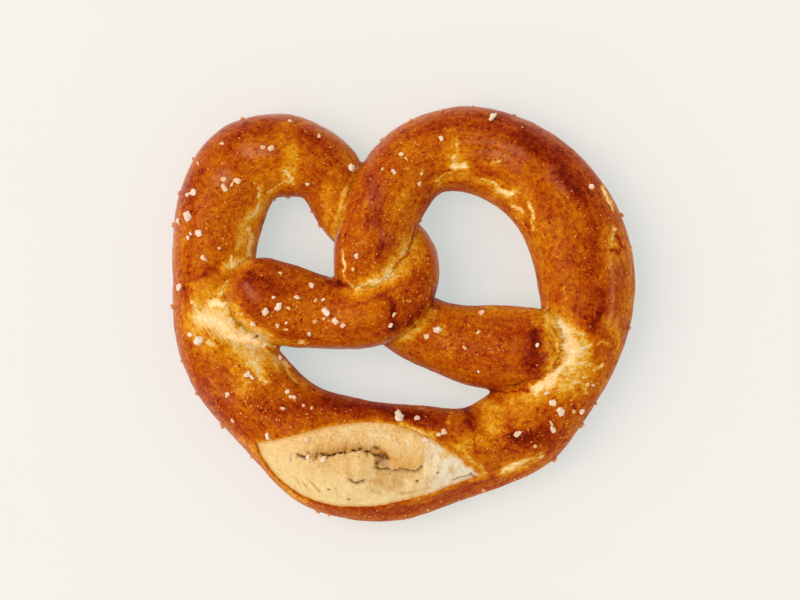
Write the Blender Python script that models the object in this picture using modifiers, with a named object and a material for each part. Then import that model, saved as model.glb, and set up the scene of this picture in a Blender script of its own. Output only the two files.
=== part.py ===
"""Soft salted pretzel: one rope of dough, knotted, split along its belly and baked into one piece.

The pretzel lies flat, as it does on its baking tray. X runs across its two loops, Y runs from the
belly towards the loops, and Z is up. The origin is under the middle of the pretzel, on the tray.
Lengths are written in millimetres and turned into metres when a mesh is filled.
"""

import math
import random

import bmesh
import bpy
import numpy as np
from mathutils import Euler, Vector, noise
from mathutils.bvhtree import BVHTree

MM = 0.001

# The rope from its left end, round the left loop's knot, loop and belly, to its right end.
# Each station is: x, y, height of the rope's middle, half its width, half its height.
ROPE = (
    (-51.0, 6.8, 17.3, 13.4, 11.0),
    (-40.3, 2.6, 14.2, 14.7, 12.0),
    (-26.5, 0.2, 14.6, 12.8, 11.4),
    (-12.5, 0.5, 18.2, 12.3, 11.0),
    (-0.9, 7.0, 17.8, 11.6, 10.8),
    (2.2, 17.8, 13.0, 10.6, 10.5),
    (-6.2, 27.4, 9.0, 11.5, 10.0),
    (-19.0, 36.8, 8.6, 12.0, 10.2),
    (-26.9, 49.8, 9.2, 12.4, 11.2),
    (-40.1, 56.0, 10.2, 14.6, 12.6),
    (-54.5, 54.1, 10.3, 15.6, 12.8),
    (-63.5, 41.9, 10.4, 16.2, 13.0),
    (-67.3, 24.5, 10.4, 15.2, 13.0),
    (-67.9, 4.8, 10.4, 14.5, 12.8),
    (-63.9, -12.5, 10.4, 16.0, 12.8),
    (-52.3, -28.8, 11.2, 16.8, 13.6),
    (-43.4, -37.6, 11.9, 16.9, 14.3),
    (-31.0, -47.0, 12.8, 20.3, 15.6),
    (-13.7, -52.7, 13.6, 21.6, 16.8),
    (9.6, -51.6, 13.0, 19.1, 16.0),
    (26.1, -48.8, 11.6, 15.4, 14.2),
    (41.6, -40.6, 11.0, 16.4, 13.6),
    (56.4, -24.6, 11.0, 14.5, 13.6),
    (64.6, -5.5, 11.2, 15.7, 13.8),
    (65.0, 15.4, 11.4, 17.7, 14.2),
    (58.2, 35.4, 11.4, 17.3, 14.2),
    (45.0, 50.0, 11.0, 16.5, 13.6),
    (25.6, 58.3, 10.4, 15.6, 12.8),
    (7.1, 55.6, 10.6, 14.3, 12.4),
    (-4.1, 43.3, 14.0, 14.1, 12.0),
    (-9.4, 30.2, 19.0, 13.3, 11.6),
    (-12.4, 17.0, 18.0, 12.6, 11.2),
    (-7.0, 4.6, 10.0, 11.6, 10.4),
    (3.1, -3.8, 9.2, 12.4, 10.6),
    (16.6, -9.2, 10.0, 13.2, 11.4),
    (31.0, -12.0, 12.8, 15.0, 12.2),
    (45.2, -10.9, 17.0, 13.4, 11.0),
)
END_LENGTH = 0.95  # length of a rounded end, as a share of the rope's half width there
RINGS = 420
SIDES = 48
VOXEL = 1.3
RELAX_ROUNDS = 3
TRAY_ROUNDING = 1.3  # how softly the flat underside turns up into the sides
BREAD_TRIANGLES = 7500
FINE_SPLIT = 0.45  # share of the thinning that the split face is spared

# The split along the belly: the two tips of its pale face, and how far its lips part from the
# straight line between them. Each lip has a widest opening, a rise and a fall.
SPLIT_LEFT = (-52.1, -45.5)
SPLIT_RIGHT = (28.6, -58.0)
UPPER_LIP = (13.9, 1.50, 1.22)
LOWER_LIP = (18.6, 0.75, 1.22)
LIP_STEP = 0.9  # how far the pale face starts below the crust
FACE_BULGE = 1.6
BELLY_LEAN = 0.30  # how much lower the outer side of the belly is than a round rope
BELLY_LEAN_FROM = (-58.0, -30.0)  # x where the lean begins and is full, left and right
BELLY_LEAN_TO = (20.0, 52.0)

# Furrows and swellings: points along each one, its half width, and its depth or height.
TEAR = (
    (-39.5, -49.7),
    (-31.9, -50.1),
    (-25.7, -49.7),
    (-20.0, -48.9),
    (-15.4, -47.7),
    (-8.0, -48.9),
)
FLAP_EDGE = ((-9.5, -54.9), (-0.7, -56.0), (5.7, -55.8), (7.7, -53.0))
LEDGE = ((-18.2, -58.8), (-12.6, -59.8), (-9.6, -60.0))
FURROWS = (
    (TEAR, 2.0, 1.6),
    (((-10.5, -53.4), (1.5, -54.4)), 6.5, 1.3),  # the wide hollow of the split's face
    (((-7.4, -49.6), (-6.6, -52.4)), 2.3, 1.8),  # its deepest place
    (FLAP_EDGE, 1.3, 0.8),
    (LEDGE, 1.2, 0.7),
    (((-10.0, -60.0), (4.0, -61.0)), 3.6, 0.5),  # valley below the flap
    (((-71.0, 2.5), (-62.0, -7.5), (-50.0, -10.5)), 3.0, 1.6),  # beside the left end
    (((57.0, -3.0), (58.5, -14.0), (52.0, -24.0)), 3.0, 1.4),  # beside the right end
    (((-77.0, 13.5), (-70.0, 15.0), (-66.5, 15.0)), 1.6, 0.8),  # scar on the left loop
    (((-44.3, -13.7), (-41.8, -19.5), (-36.8, -25.2)), 1.3, 0.7),  # wrinkle at the belly's corner
    (((27.0, -33.0), (28.5, -39.0), (33.0, -45.0)), 2.4, 1.1),  # dent right of the belly
    (((28.2, 49.0), (33.5, 46.0), (43.5, 32.0)), 1.2, 0.45),  # crack inside the right loop
)
SWELLINGS = (
    (((-14.6, -54.6), (-14.6, -53.4)), 4.6, 1.2),  # pad left of the hollow
    (((3.9, -43.0), (7.4, -46.6), (8.6, -51.0), (8.2, -55.4)), 1.6, 0.5),  # rim right of the flap
)
UNEVENNESS = ((18.0, 0.55), (7.0, 0.22))  # size and height of the dough's own bumps

# Coarse salt. Each patch is: x, y, half its extent in x and y, grains, largest grain.
SALT_SEED = 7
SALT_PATCHES = (
    (-40.0, 68.7, 0.5, 0.5, 1, 1.5),
    (-29.6, 63.4, 0.5, 0.5, 1, 1.6),
    (-47.6, 58.9, 2.2, 0.8, 2, 2.0),
    (-63.9, 59.4, 1.0, 1.0, 1, 1.5),
    (-72.5, 53.4, 0.5, 0.5, 1, 1.6),
    (-74.3, 42.8, 2.2, 1.0, 2, 2.0),
    (-61.3, 45.8, 3.0, 2.2, 4, 2.2),
    (-18.8, 51.4, 0.5, 0.5, 1, 2.5),
    (-33.6, 46.2, 0.5, 0.5, 1, 1.4),
    (-76.0, 34.0, 0.4, 0.4, 1, 3.0),
    (-79.4, 33.4, 0.4, 1.0, 1, 2.1),
    (-72.6, 28.6, 0.5, 0.5, 1, 2.3),
    (-75.4, 28.2, 1.5, 2.5, 2, 1.6),
    (-70.6, 19.0, 1.6, 0.8, 2, 1.9),
    (-64.6, 23.4, 0.5, 0.5, 1, 1.4),
    (-79.0, 9.2, 0.4, 0.6, 1, 2.4),
    (-72.8, -9.8, 0.4, 0.4, 1, 3.0),
    (-75.5, -8.0, 0.6, 0.6, 1, 1.6),
    (-42.5, 14.6, 1.5, 0.8, 1, 1.4),
    (-32.1, 10.2, 0.5, 0.5, 1, 1.8),
    (-46.4, 5.0, 1.0, 1.0, 1, 1.5),
    (-48.4, 1.2, 0.4, 0.4, 1, 2.3),
    (-44.4, 2.2, 0.4, 0.4, 1, 2.5),
    (-38.6, 4.0, 3.0, 2.0, 2, 1.5),
    (-27.3, 5.4, 4.0, 1.0, 2, 1.4),
    (-27.5, 0.2, 0.4, 0.4, 1, 2.7),
    (-22.4, -4.0, 1.8, 1.6, 2, 2.1),
    (-30.6, -4.6, 3.0, 3.0, 3, 1.6),
    (-41.2, -4.4, 3.6, 1.4, 3, 1.7),
    (-53.3, -3.6, 0.5, 0.5, 1, 1.9),
    (-44.4, -15.6, 0.5, 0.5, 1, 1.6),
    (-54.6, -21.8, 1.2, 1.2, 2, 1.8),
    (-61.8, -29.1, 0.5, 0.5, 1, 1.9),
    (-40.2, -28.2, 1.2, 1.6, 2, 1.8),
    (-60.7, -38.4, 0.5, 0.5, 1, 1.5),
    (-48.2, -43.4, 0.4, 0.4, 1, 2.2),
    (-38.0, -33.6, 7.0, 1.4, 3, 1.5),
    (-1.4, -36.9, 0.3, 0.3, 1, 3.2),
    (4.6, -37.4, 0.4, 0.4, 1, 2.0),
    (14.4, -43.0, 2.0, 0.8, 2, 1.9),
    (28.1, -0.6, 0.5, 0.5, 1, 2.1),
    (47.6, -11.2, 0.5, 0.5, 1, 1.4),
    (22.0, -12.0, 6.0, 9.0, 3, 1.6),
    (66.4, -24.4, 3.0, 1.5, 2, 1.5),
    (51.6, -27.6, 0.8, 0.8, 1, 1.7),
    (53.6, -30.6, 0.8, 1.0, 2, 2.1),
    (55.6, -35.0, 0.5, 0.5, 1, 2.2),
    (62.2, -35.4, 2.0, 1.2, 2, 1.7),
    (52.4, -40.0, 0.9, 1.4, 2, 2.0),
    (40.2, -43.0, 0.5, 0.5, 1, 2.2),
    (46.4, -46.1, 1.0, 1.0, 1, 1.4),
    (31.7, 69.4, 0.4, 0.4, 1, 2.4),
    (13.6, 61.6, 0.4, 0.4, 1, 1.9),
    (1.4, 55.8, 3.0, 1.0, 2, 1.5),
    (-3.0, 49.9, 0.4, 0.4, 1, 2.1),
    (-7.5, 50.9, 0.6, 0.6, 1, 1.3),
    (4.4, 47.4, 2.4, 4.0, 2, 1.6),
    (-17.3, 20.0, 1.0, 8.0, 2, 1.6),
    (-3.2, -2.6, 1.6, 2.6, 2, 1.6),
    (8.4, -7.6, 0.6, 0.6, 1, 1.7),
    (12.2, -5.8, 0.4, 0.4, 1, 2.5),
    (66.2, 44.8, 0.5, 0.5, 1, 1.7),
    (74.6, 29.6, 0.6, 1.0, 1, 1.4),
    (-40.4, -51.4, 0.5, 0.4, 1, 1.7),
    (-34.2, -44.4, 0.6, 0.5, 1, 1.6),
    (-33.4, -50.6, 0.5, 0.3, 1, 1.5),
    (-28.0, -51.8, 0.4, 0.4, 1, 2.3),
    (7.6, -44.4, 0.4, 0.4, 1, 2.2),
)
# Salt on the steep sides: first and last share of the rope, side (1 inner, -1 outer), grains.
SIDE_SALT = (
    (0.24, 0.47, -1, 14),
    (0.47, 0.60, -1, 8),
    (0.62, 0.70, -1, 5),
    (0.72, 0.84, -1, 9),
    (0.02, 0.09, 1, 4),
)
SIDE_SALT_HEIGHT = (6.0, 15.0)
SIDE_SALT_SIZE = (1.0, 1.7)
SMALLEST_SOLID = 1.25  # smaller grains count when the places are drawn, but are not made solid
TRIES = 12  # spots drawn for each grain, of which the first clear one is taken
ABOVE = 60.0  # from where a spot is sought, above or outside the bread
LOWEST_SALT = 4.0
GRAIN_GAP = 0.62  # least distance between two grains, as a share of their sizes together
SALT_SINK = 0.22  # share of a grain's size that is sunk in the crust

CRUST_COLOUR = (0.36, 0.12, 0.022, 1.0)


def clear_scene():
    for obj in list(bpy.data.objects):
        bpy.data.objects.remove(obj)


def crust_material():
    material = bpy.data.materials.new("browned_crust")
    material.use_nodes = True
    shader = material.node_tree.nodes["Principled BSDF"]
    shader.inputs["Base Color"].default_value = CRUST_COLOUR
    shader.inputs["Roughness"].default_value = 0.42
    shader.inputs["Metallic"].default_value = 0.0
    return material


def smoothstep(low, high, value):
    share = np.clip((value - low) / (high - low), 0.0, 1.0)
    return share * share * (3.0 - 2.0 * share)


def natural_spline(stations, count):
    """A smooth line through the stations, as count evenly spaced rows of the same numbers."""
    rows = np.array(stations, float)
    legs = np.linalg.norm(np.diff(rows[:, :3], axis=0), axis=1)
    knots = np.concatenate([[0.0], np.cumsum(legs)])
    last = len(knots) - 1
    matrix = np.eye(last + 1)
    right = np.zeros_like(rows)
    for i in range(1, last):
        matrix[i, i - 1 : i + 2] = legs[i - 1], 2.0 * (legs[i - 1] + legs[i]), legs[i]
        slope_after = (rows[i + 1] - rows[i]) / legs[i]
        slope_before = (rows[i] - rows[i - 1]) / legs[i - 1]
        right[i] = 6.0 * (slope_after - slope_before)
    bend = np.linalg.solve(matrix, right)
    at = np.linspace(0.0, knots[-1], count)
    leg = np.clip(np.searchsorted(knots, at) - 1, 0, last - 1)
    to_next = (knots[leg + 1] - at)[:, None]
    from_last = (at - knots[leg])[:, None]
    span = legs[leg][:, None]
    cubic = (bend[leg] * to_next**3 + bend[leg + 1] * from_last**3) / (6.0 * span)
    start = (rows[leg] / span - bend[leg] * span / 6.0) * to_next
    finish = (rows[leg + 1] / span - bend[leg + 1] * span / 6.0) * from_last
    return cubic + start + finish


def rounded_end(station, direction, count):
    """Rows that close one end of the rope like a thumb, from its last full ring to its tip."""
    length = station[3] * END_LENGTH
    rows = []
    for step in range(1, count + 1):
        angle = 0.5 * math.pi * step / count
        row = np.array(station)
        row[:3] += direction * length * math.sin(angle)
        row[3:5] *= math.cos(angle)
        rows.append(row)
    return rows


def rope_rings():
    """One row for each ring of the rope, tips included: centre, half width and half height."""
    end_rings = RINGS // 30
    body = natural_spline(ROPE, RINGS + 1 - 2 * end_rings)
    heading = np.gradient(body[:, :3], axis=0)
    heading /= np.linalg.norm(heading, axis=1)[:, None]
    left = rounded_end(body[0], -heading[0], end_rings)[::-1]
    right = rounded_end(body[-1], heading[-1], end_rings)
    rings = np.vstack([left, body, right])
    ahead = np.vstack([[heading[0]] * end_rings, heading, [heading[-1]] * end_rings])
    side = np.stack([-ahead[:, 1], ahead[:, 0], np.zeros(len(ahead))], axis=1)
    side /= np.linalg.norm(side, axis=1)[:, None]
    return rings, side, np.cross(ahead, side)


def roll_rope():
    """A ball of dough drawn out along the route: the poles of a sphere become the rope's tips."""
    rings, side, up = rope_rings()
    bm = bmesh.new()
    bmesh.ops.create_uvsphere(bm, u_segments=SIDES, v_segments=RINGS, radius=1.0)
    for vert in bm.verts:
        ring = round(math.acos(max(-1.0, min(1.0, vert.co.z))) / math.pi * RINGS)
        angle = math.atan2(vert.co.y, vert.co.x)
        centre, half_width, half_height = rings[ring][:3], rings[ring][3], rings[ring][4]
        across = side[ring] * (half_width * math.cos(angle))
        upward = up[ring] * (half_height * math.sin(angle))
        vert.co = Vector((centre + across + upward) * MM)
    bmesh.ops.recalc_face_normals(bm, faces=bm.faces)
    mesh = bpy.data.meshes.new("rolled_rope")
    bm.to_mesh(mesh)
    bm.free()
    rope = bpy.data.objects.new("rolled_rope", mesh)
    bpy.context.scene.collection.objects.link(rope)
    return rope


def applied(obj, name):
    """A new object with obj's modifiers applied. Obj is removed."""
    bpy.context.view_layer.update()
    evaluated = obj.evaluated_get(bpy.context.evaluated_depsgraph_get())
    mesh = bpy.data.meshes.new_from_object(evaluated)
    made = bpy.data.objects.new(name, mesh)
    mesh.name = name
    bpy.context.scene.collection.objects.link(made)
    bpy.data.objects.remove(obj)
    return made


def bake_together(rope):
    """Fuses the rope with itself wherever its strands cross or touch."""
    fuse = rope.modifiers.new("fuse", "REMESH")
    fuse.mode = "VOXEL"
    fuse.voxel_size = VOXEL * MM
    relax = rope.modifiers.new("relax", "SMOOTH")
    relax.factor = 0.5
    relax.iterations = RELAX_ROUNDS
    return applied(rope, "pretzel")


def read_points(obj):
    points = np.zeros(len(obj.data.vertices) * 3)
    obj.data.vertices.foreach_get("co", points)
    return points.reshape(-1, 3) / MM


def write_points(obj, points):
    obj.data.vertices.foreach_set("co", (points * MM).ravel())
    obj.data.update()


def read_normals(obj):
    normals = np.zeros(len(obj.data.vertices) * 3)
    obj.data.vertices.foreach_get("normal", normals)
    return normals.reshape(-1, 3)


def lean_belly(points):
    """Lets the belly's outer side sink, as the open split makes it spread."""
    rings, side, _ = rope_rings()
    belly = rings[len(rings) * 3 // 8 : len(rings) * 5 // 8]
    belly_side = side[len(rings) * 3 // 8 : len(rings) * 5 // 8]
    gaps = points[:, None, :2] - belly[None, :, :2]
    nearest = (gaps**2).sum(2).argmin(1)
    offset = ((points - belly[nearest, :3]) * belly_side[nearest]).sum(1)
    outward = smoothstep(0.0, 1.0, -offset / belly[nearest, 3])
    along = smoothstep(*BELLY_LEAN_FROM, points[:, 0]) * (1.0 - smoothstep(*BELLY_LEAN_TO, points[:, 0]))
    low = 1.0 - smoothstep(-32.0, -20.0, points[:, 1])
    points[:, 2] *= 1.0 - BELLY_LEAN * outward * along * low
    return points


def settle_on_tray(points):
    """Presses the underside flat on the tray, with a rounded edge."""
    share = np.clip((points[:, 2] + TRAY_ROUNDING) / (2.0 * TRAY_ROUNDING), 0.0, 1.0)
    blend = TRAY_ROUNDING * share * share
    points[:, 2] = np.where(share >= 1.0, points[:, 2], blend)
    return points


def lip_curve(lip, share):
    """How far a lip has parted from the split's straight line, at a share of its length."""
    opening, rise, fall = lip
    peak = rise / (rise + fall)
    return opening * (share / peak) ** rise * ((1.0 - share) / (1.0 - peak)) ** fall


def split_depth(points):
    """Distance inside the split's outline seen from above: positive on its pale face."""
    start = np.array(SPLIT_LEFT)
    along = np.array(SPLIT_RIGHT) - start
    length = np.linalg.norm(along)
    along /= length
    across = np.array([-along[1], along[0]])
    share = np.linspace(0.0, 1.0, 160)
    lips = []
    for lip, sign in ((UPPER_LIP, 1.0), (LOWER_LIP, -1.0)):
        apart = sign * lip_curve(lip, share)
        lips.append(start + share[:, None] * length * along + apart[:, None] * across)
    outline = np.vstack(lips)
    flat = points[:, :2] - start
    u = np.clip(flat @ along / length, 0.0, 1.0)
    v = flat @ across
    inside = (v < lip_curve(UPPER_LIP, u)) & (v > -lip_curve(LOWER_LIP, u))
    distance = np.full(len(points), 99.0)
    near = (points[:, 1] < -30.0) & (points[:, 0] < 36.0)
    gaps = points[near, None, :2] - outline[None, :, :]
    distance[near] = np.sqrt((gaps**2).sum(2)).min(1)
    return np.where(inside, distance, -distance)


def distance_to_path(points, path):
    """Distance seen from above to a line of straight legs."""
    flat = points[:, :2]
    best = np.full(len(points), 99.0)
    for first, second in zip(path, path[1:]):
        start = np.array(first)
        leg = np.array(second) - start
        share = np.clip((flat - start) @ leg / (leg @ leg), 0.0, 1.0)
        gap = np.linalg.norm(flat - start - share[:, None] * leg, axis=1)
        best = np.minimum(best, gap)
    return best


def open_split(points, normals):
    """Steps the pale face down from the crust's lips and lets it swell between them."""
    depth = split_depth(points)
    facing_up = smoothstep(0.05, 0.35, normals[:, 2])
    step = LIP_STEP * smoothstep(-0.3, 1.4, depth)
    swell = FACE_BULGE * smoothstep(1.0, 9.0, depth)
    points[:, 2] += (swell - step) * facing_up
    return points


def press_furrows(points, normals):
    facing_up = smoothstep(0.0, 0.4, normals[:, 2])
    for marks, sign in ((FURROWS, -1.0), (SWELLINGS, 1.0)):
        for path, half_width, height in marks:
            share = distance_to_path(points, path) / half_width
            points[:, 2] += sign * height * np.exp(-(share**2)) * facing_up
    return points


def uneven(points, normals):
    """Low swellings of hand-rolled dough. They fade out on the flat underside."""
    off_tray = smoothstep(0.5, 6.0, points[:, 2])
    for size, height in UNEVENNESS:
        lift = np.array([noise.noise(Vector(point / size)) for point in points])
        points += normals * (lift * height * off_tray)[:, None]
    return points


def thin_out(bread):
    """Fewer, larger triangles, spared where the split's relief needs small ones."""
    points = read_points(bread)
    group = bread.vertex_groups.new(name="thin")
    fine = smoothstep(-2.0, 1.0, split_depth(points)) * smoothstep(6.0, 9.0, points[:, 2])
    for index, share in enumerate(fine):
        group.add([index], 1.0 - FINE_SPLIT * float(share), "REPLACE")
    triangles = sum(len(face.vertices) - 2 for face in bread.data.polygons)
    thin = bread.modifiers.new("thin", "DECIMATE")
    thin.ratio = BREAD_TRIANGLES / triangles
    thin.vertex_group = group.name
    return applied(bread, "pretzel")


def salt_places(draw, tree):
    """Where the grains lie: a point on the crust, the way out of it there, and a size.

    Every grain takes the same number of draws, whatever it meets, so that one grain more or less
    leaves the others where they are.
    """
    places = []
    for x, y, reach_x, reach_y, grains, largest in SALT_PATCHES:
        for rank in range(grains):
            size = largest * (1.0 - 0.4 * rank / grains)
            spots = [(draw.uniform(-reach_x, reach_x), draw.uniform(-reach_y, reach_y)) for _ in range(TRIES)]
            for across, along in spots:
                spot = Vector((x + across, y + along, ABOVE))
                place, normal, _, _ = tree.ray_cast(spot * MM, Vector((0.0, 0.0, -1.0)))
                if place is not None and place.z > LOWEST_SALT * MM and clear_of(places, place, size):
                    places.append((place, normal, size))
                    break
    rings, side, _ = rope_rings()
    for first, last, which, grains in SIDE_SALT:
        for rank in range(grains):
            share = first + (last - first) * (rank + draw.uniform(0.1, 0.9)) / grains
            ring = round(share * (len(rings) - 1))
            size = draw.uniform(*SIDE_SALT_SIZE)
            height = draw.uniform(*SIDE_SALT_HEIGHT)
            outward = Vector(side[ring] * which)
            middle = Vector((rings[ring][0], rings[ring][1], height))
            place, normal, _, _ = tree.ray_cast((middle + outward * ABOVE) * MM, -outward)
            if place is not None and clear_of(places, place, size):
                places.append((place, normal, size))
    return places


def clear_of(places, place, size):
    """Whether a grain of this size would lie apart from those already placed."""
    return all((place - near).length > GRAIN_GAP * (size + near_size) * MM for near, _, near_size in places)


def salt_grain(name, place, normal, size, draw):
    """One chipped crystal, half sunk in the crust."""
    bm = bmesh.new()
    bmesh.ops.create_icosphere(bm, subdivisions=1, radius=0.5 * size * MM)
    stretch = Vector((1.0, draw.uniform(0.65, 0.95), draw.uniform(0.6, 0.85)))
    turn = Euler([draw.uniform(0.0, math.tau) for _ in range(3)]).to_matrix()
    middle = place + normal * (0.5 - SALT_SINK) * 0.7 * size * MM
    for vert in bm.verts:
        chipped = vert.co * draw.uniform(0.88, 1.12)
        vert.co = middle + turn @ Vector(a * b for a, b in zip(chipped, stretch))
    mesh = bpy.data.meshes.new(name)
    bm.to_mesh(mesh)
    bm.free()
    return bpy.data.objects.new(name, mesh)


def salt(bread):
    """Scatters the grains and fuses them to the crust."""
    draw = random.Random(SALT_SEED)
    tree = BVHTree.FromObject(bread, bpy.context.evaluated_depsgraph_get())
    grains = bpy.data.collections.new("salt_grains")
    bpy.context.scene.collection.children.link(grains)
    for number, (place, normal, size) in enumerate(salt_places(draw, tree)):
        if size >= SMALLEST_SOLID:
            grains.objects.link(salt_grain(f"grain_{number}", place, normal, size, draw))
    print("salt grains:", len(grains.objects))
    join = bread.modifiers.new("join_salt", "BOOLEAN")
    join.operation = "UNION"
    join.operand_type = "COLLECTION"
    join.collection = grains
    join.solver = "MANIFOLD"
    salted = applied(bread, "pretzel")
    for obj in list(grains.objects):
        bpy.data.objects.remove(obj)
    bpy.data.collections.remove(grains)
    return salted


def centre(bread):
    """Puts the origin under the middle of the pretzel, on the tray."""
    points = read_points(bread)
    middle = (points.min(0) + points.max(0)) / 2.0
    middle[2] = points[:, 2].min()
    print("moved by", np.round(-middle, 3))
    write_points(bread, points - middle)


def build_pretzel():
    clear_scene()
    bread = bake_together(roll_rope())
    points = lean_belly(read_points(bread))
    write_points(bread, settle_on_tray(points))
    for shape in (uneven, open_split, press_furrows):
        write_points(bread, shape(read_points(bread), read_normals(bread)))
    bread = thin_out(bread)
    bread = salt(bread)
    centre(bread)
    bread.vertex_groups.clear()
    bread.data.materials.clear()
    bread.data.materials.append(crust_material())
    bread.data.shade_smooth()
    home = bpy.data.collections.new("pretzel")
    bpy.context.scene.collection.children.link(home)
    bpy.context.scene.collection.objects.unlink(bread)
    home.objects.link(bread)
    return bread


build_pretzel()
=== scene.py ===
# %% [markdown]
# # A soft salted pretzel, knotted, split and baked
#
# The real thing is a single rope of wheat dough. The baker rolls it thick in the middle and thin
# at the ends, throws it into a knot, dips it in lye, salts it and slashes its belly. In the oven
# the lye turns the skin chestnut brown, the slash opens and shows the pale crumb, and the places
# where the ends pull on the loops stretch and stay light.
#
# This lesson follows the same order: the rope, the knot, the rise, the slash, the browning, the
# salt. Lengths are millimetres until a mesh is filled, because a baker would give them so.

# %% Load the measured model that the looks are built around
import math
import random

import bmesh
import bpy
import numpy as np
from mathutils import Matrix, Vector, noise
from mathutils.bvhtree import BVHTree
from mathutils.kdtree import KDTree


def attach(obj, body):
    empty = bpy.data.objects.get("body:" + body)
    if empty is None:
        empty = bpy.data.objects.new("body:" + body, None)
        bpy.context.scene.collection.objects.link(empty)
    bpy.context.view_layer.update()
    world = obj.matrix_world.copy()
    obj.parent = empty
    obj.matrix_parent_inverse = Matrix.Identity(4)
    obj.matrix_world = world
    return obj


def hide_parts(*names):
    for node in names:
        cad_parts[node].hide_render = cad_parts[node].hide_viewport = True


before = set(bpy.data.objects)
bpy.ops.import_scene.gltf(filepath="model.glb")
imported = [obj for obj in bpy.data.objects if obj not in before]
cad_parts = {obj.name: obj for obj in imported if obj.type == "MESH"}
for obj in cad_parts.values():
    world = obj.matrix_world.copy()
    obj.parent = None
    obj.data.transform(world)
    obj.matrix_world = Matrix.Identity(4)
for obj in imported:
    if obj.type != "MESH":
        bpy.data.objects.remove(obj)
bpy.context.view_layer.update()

MM = 0.001

# %% [markdown]
# ## Helpers
#
# Shaping dough is mostly moving many points a little, so the points travel as one numpy array in
# millimetres: read them, push them, write them back. Two small functions build every node tree
# below, for geometry and for materials alike: one adds a node and plugs it in, one does sums.

# %% Points in and out of a mesh
def read_points(obj):
    points = np.zeros(len(obj.data.vertices) * 3)
    obj.data.vertices.foreach_get("co", points)
    return points.reshape(-1, 3) / MM


def write_points(obj, points):
    obj.data.vertices.foreach_set("co", (points * MM).ravel())
    obj.data.update()


def read_normals(obj):
    normals = np.zeros(len(obj.data.vertices) * 3)
    obj.data.vertices.foreach_get("normal", normals)
    return normals.reshape(-1, 3)


def store(obj, name, values):
    """Keeps one number, or one vector, for each point of the mesh, for materials to read."""
    kind, field = ("FLOAT", "value") if values.ndim == 1 else ("FLOAT_VECTOR", "vector")
    layer = obj.data.attributes.new(name, kind, "POINT")
    layer.data.foreach_set(field, values.astype(np.float32).ravel())


def add_object(name, data):
    made = bpy.data.objects.new(name, data)
    bpy.context.scene.collection.objects.link(made)
    return made


def applied(obj, name):
    """A plain mesh object with obj's modifiers applied. Obj is removed."""
    bpy.context.view_layer.update()
    evaluated = obj.evaluated_get(bpy.context.evaluated_depsgraph_get())
    mesh = bpy.data.meshes.new_from_object(evaluated)
    bpy.data.objects.remove(obj)
    mesh.name = name
    return add_object(name, mesh)


def report(obj):
    triangles = sum(len(face.vertices) - 2 for face in obj.data.polygons)
    print(f"{obj.name}: {len(obj.data.vertices)} points, {triangles} triangles")


# %% Node trees
def connect(tree, socket, plug):
    """Links another node's socket to this one, or sets a plain value on it."""
    if isinstance(plug, bpy.types.NodeSocket):
        tree.links.new(plug, socket)
    else:
        socket.default_value = plug


def add_node(tree, kind, *plugs, setup=None, **named):
    """A node with its settings. Plugs are sockets to link or values, in order or by name."""
    made = tree.nodes.new(kind)
    for name, value in (setup or {}).items():
        setattr(made, name, value)
    ready = [socket for socket in made.inputs if socket.enabled]
    for socket, plug in zip(ready, plugs):
        connect(tree, socket, plug)
    for name, plug in named.items():
        connect(tree, next(socket for socket in ready if socket.name == name.replace("_", " ")), plug)
    return made


def plug_into(tree, node, **named):
    """Links or sets inputs of a node that is already there. An underscore stands for a space."""
    for name, plug in named.items():
        connect(tree, node.inputs[name.replace("_", " ")], plug)


def result(made, name=None):
    """The output of a node that is in use, or the one with that name."""
    return next(s for s in made.outputs if s.enabled and (name is None or s.name == name))


def sums(tree, operation, *plugs, clamp=False):
    setup = {"operation": operation, "use_clamp": clamp}
    return result(add_node(tree, "ShaderNodeMath", *plugs, setup=setup))


def vector_sums(tree, operation, *plugs, **named):
    setup = {"operation": operation}
    return result(add_node(tree, "ShaderNodeVectorMath", *plugs, setup=setup, **named))


def fade(tree, value, low, high):
    """0 below low and 1 above high, smoothly between. With low above high it runs the other way."""
    setup = {"interpolation_type": "SMOOTHSTEP"}
    return result(add_node(tree, "ShaderNodeMapRange", value, low, high, 0.0, 1.0, setup=setup))


def new_group(name, tree_kind, inputs, outputs):
    """A node group, with the sockets that bring its inputs in and those that take its outputs."""
    tree = bpy.data.node_groups.new(name, tree_kind)
    for in_out, sockets in (("INPUT", inputs), ("OUTPUT", outputs)):
        for label, kind in sockets.items():
            tree.interface.new_socket(label, in_out=in_out, socket_type=f"NodeSocket{kind}")
    return tree, tree.nodes.new("NodeGroupInput").outputs, tree.nodes.new("NodeGroupOutput").inputs


def geometry_tree(name, sizes):
    """A Geometry Nodes tree with a mesh in, a mesh out and named inputs for its sizes."""
    return new_group(name, "GeometryNodeTree", {"Mesh": "Geometry", **sizes}, {"Mesh": "Geometry"})


def grow(obj, tree, name, values):
    """Runs a Geometry Nodes tree on an object and keeps what it makes as a plain mesh."""
    modifier = obj.modifiers.new(tree.name, "NODES")
    modifier.node_group = tree
    for item in tree.interface.items_tree:
        if item.in_out == "INPUT" and item.name in values:
            modifier[item.identifier] = values[item.name]
    return applied(obj, name)


# %% Soft steps, noise and distances, for points by the thousand
def ease(low, high, value):
    share = np.clip((value - low) / (high - low), 0.0, 1.0)
    return share * share * (3.0 - 2.0 * share)


def rumple(points, size, seed=0.0):
    """Smooth noise between about -1 and 1, with bumps of the given size."""
    offset = Vector((seed, 1.7 * seed, 2.3 * seed))
    return np.array([noise.noise(Vector(point / size) + offset) for point in points])


def beside(distance, reach):
    """1 at no distance, fading to 0 past the reach."""
    return np.exp(-((distance / reach) ** 2))


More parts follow.
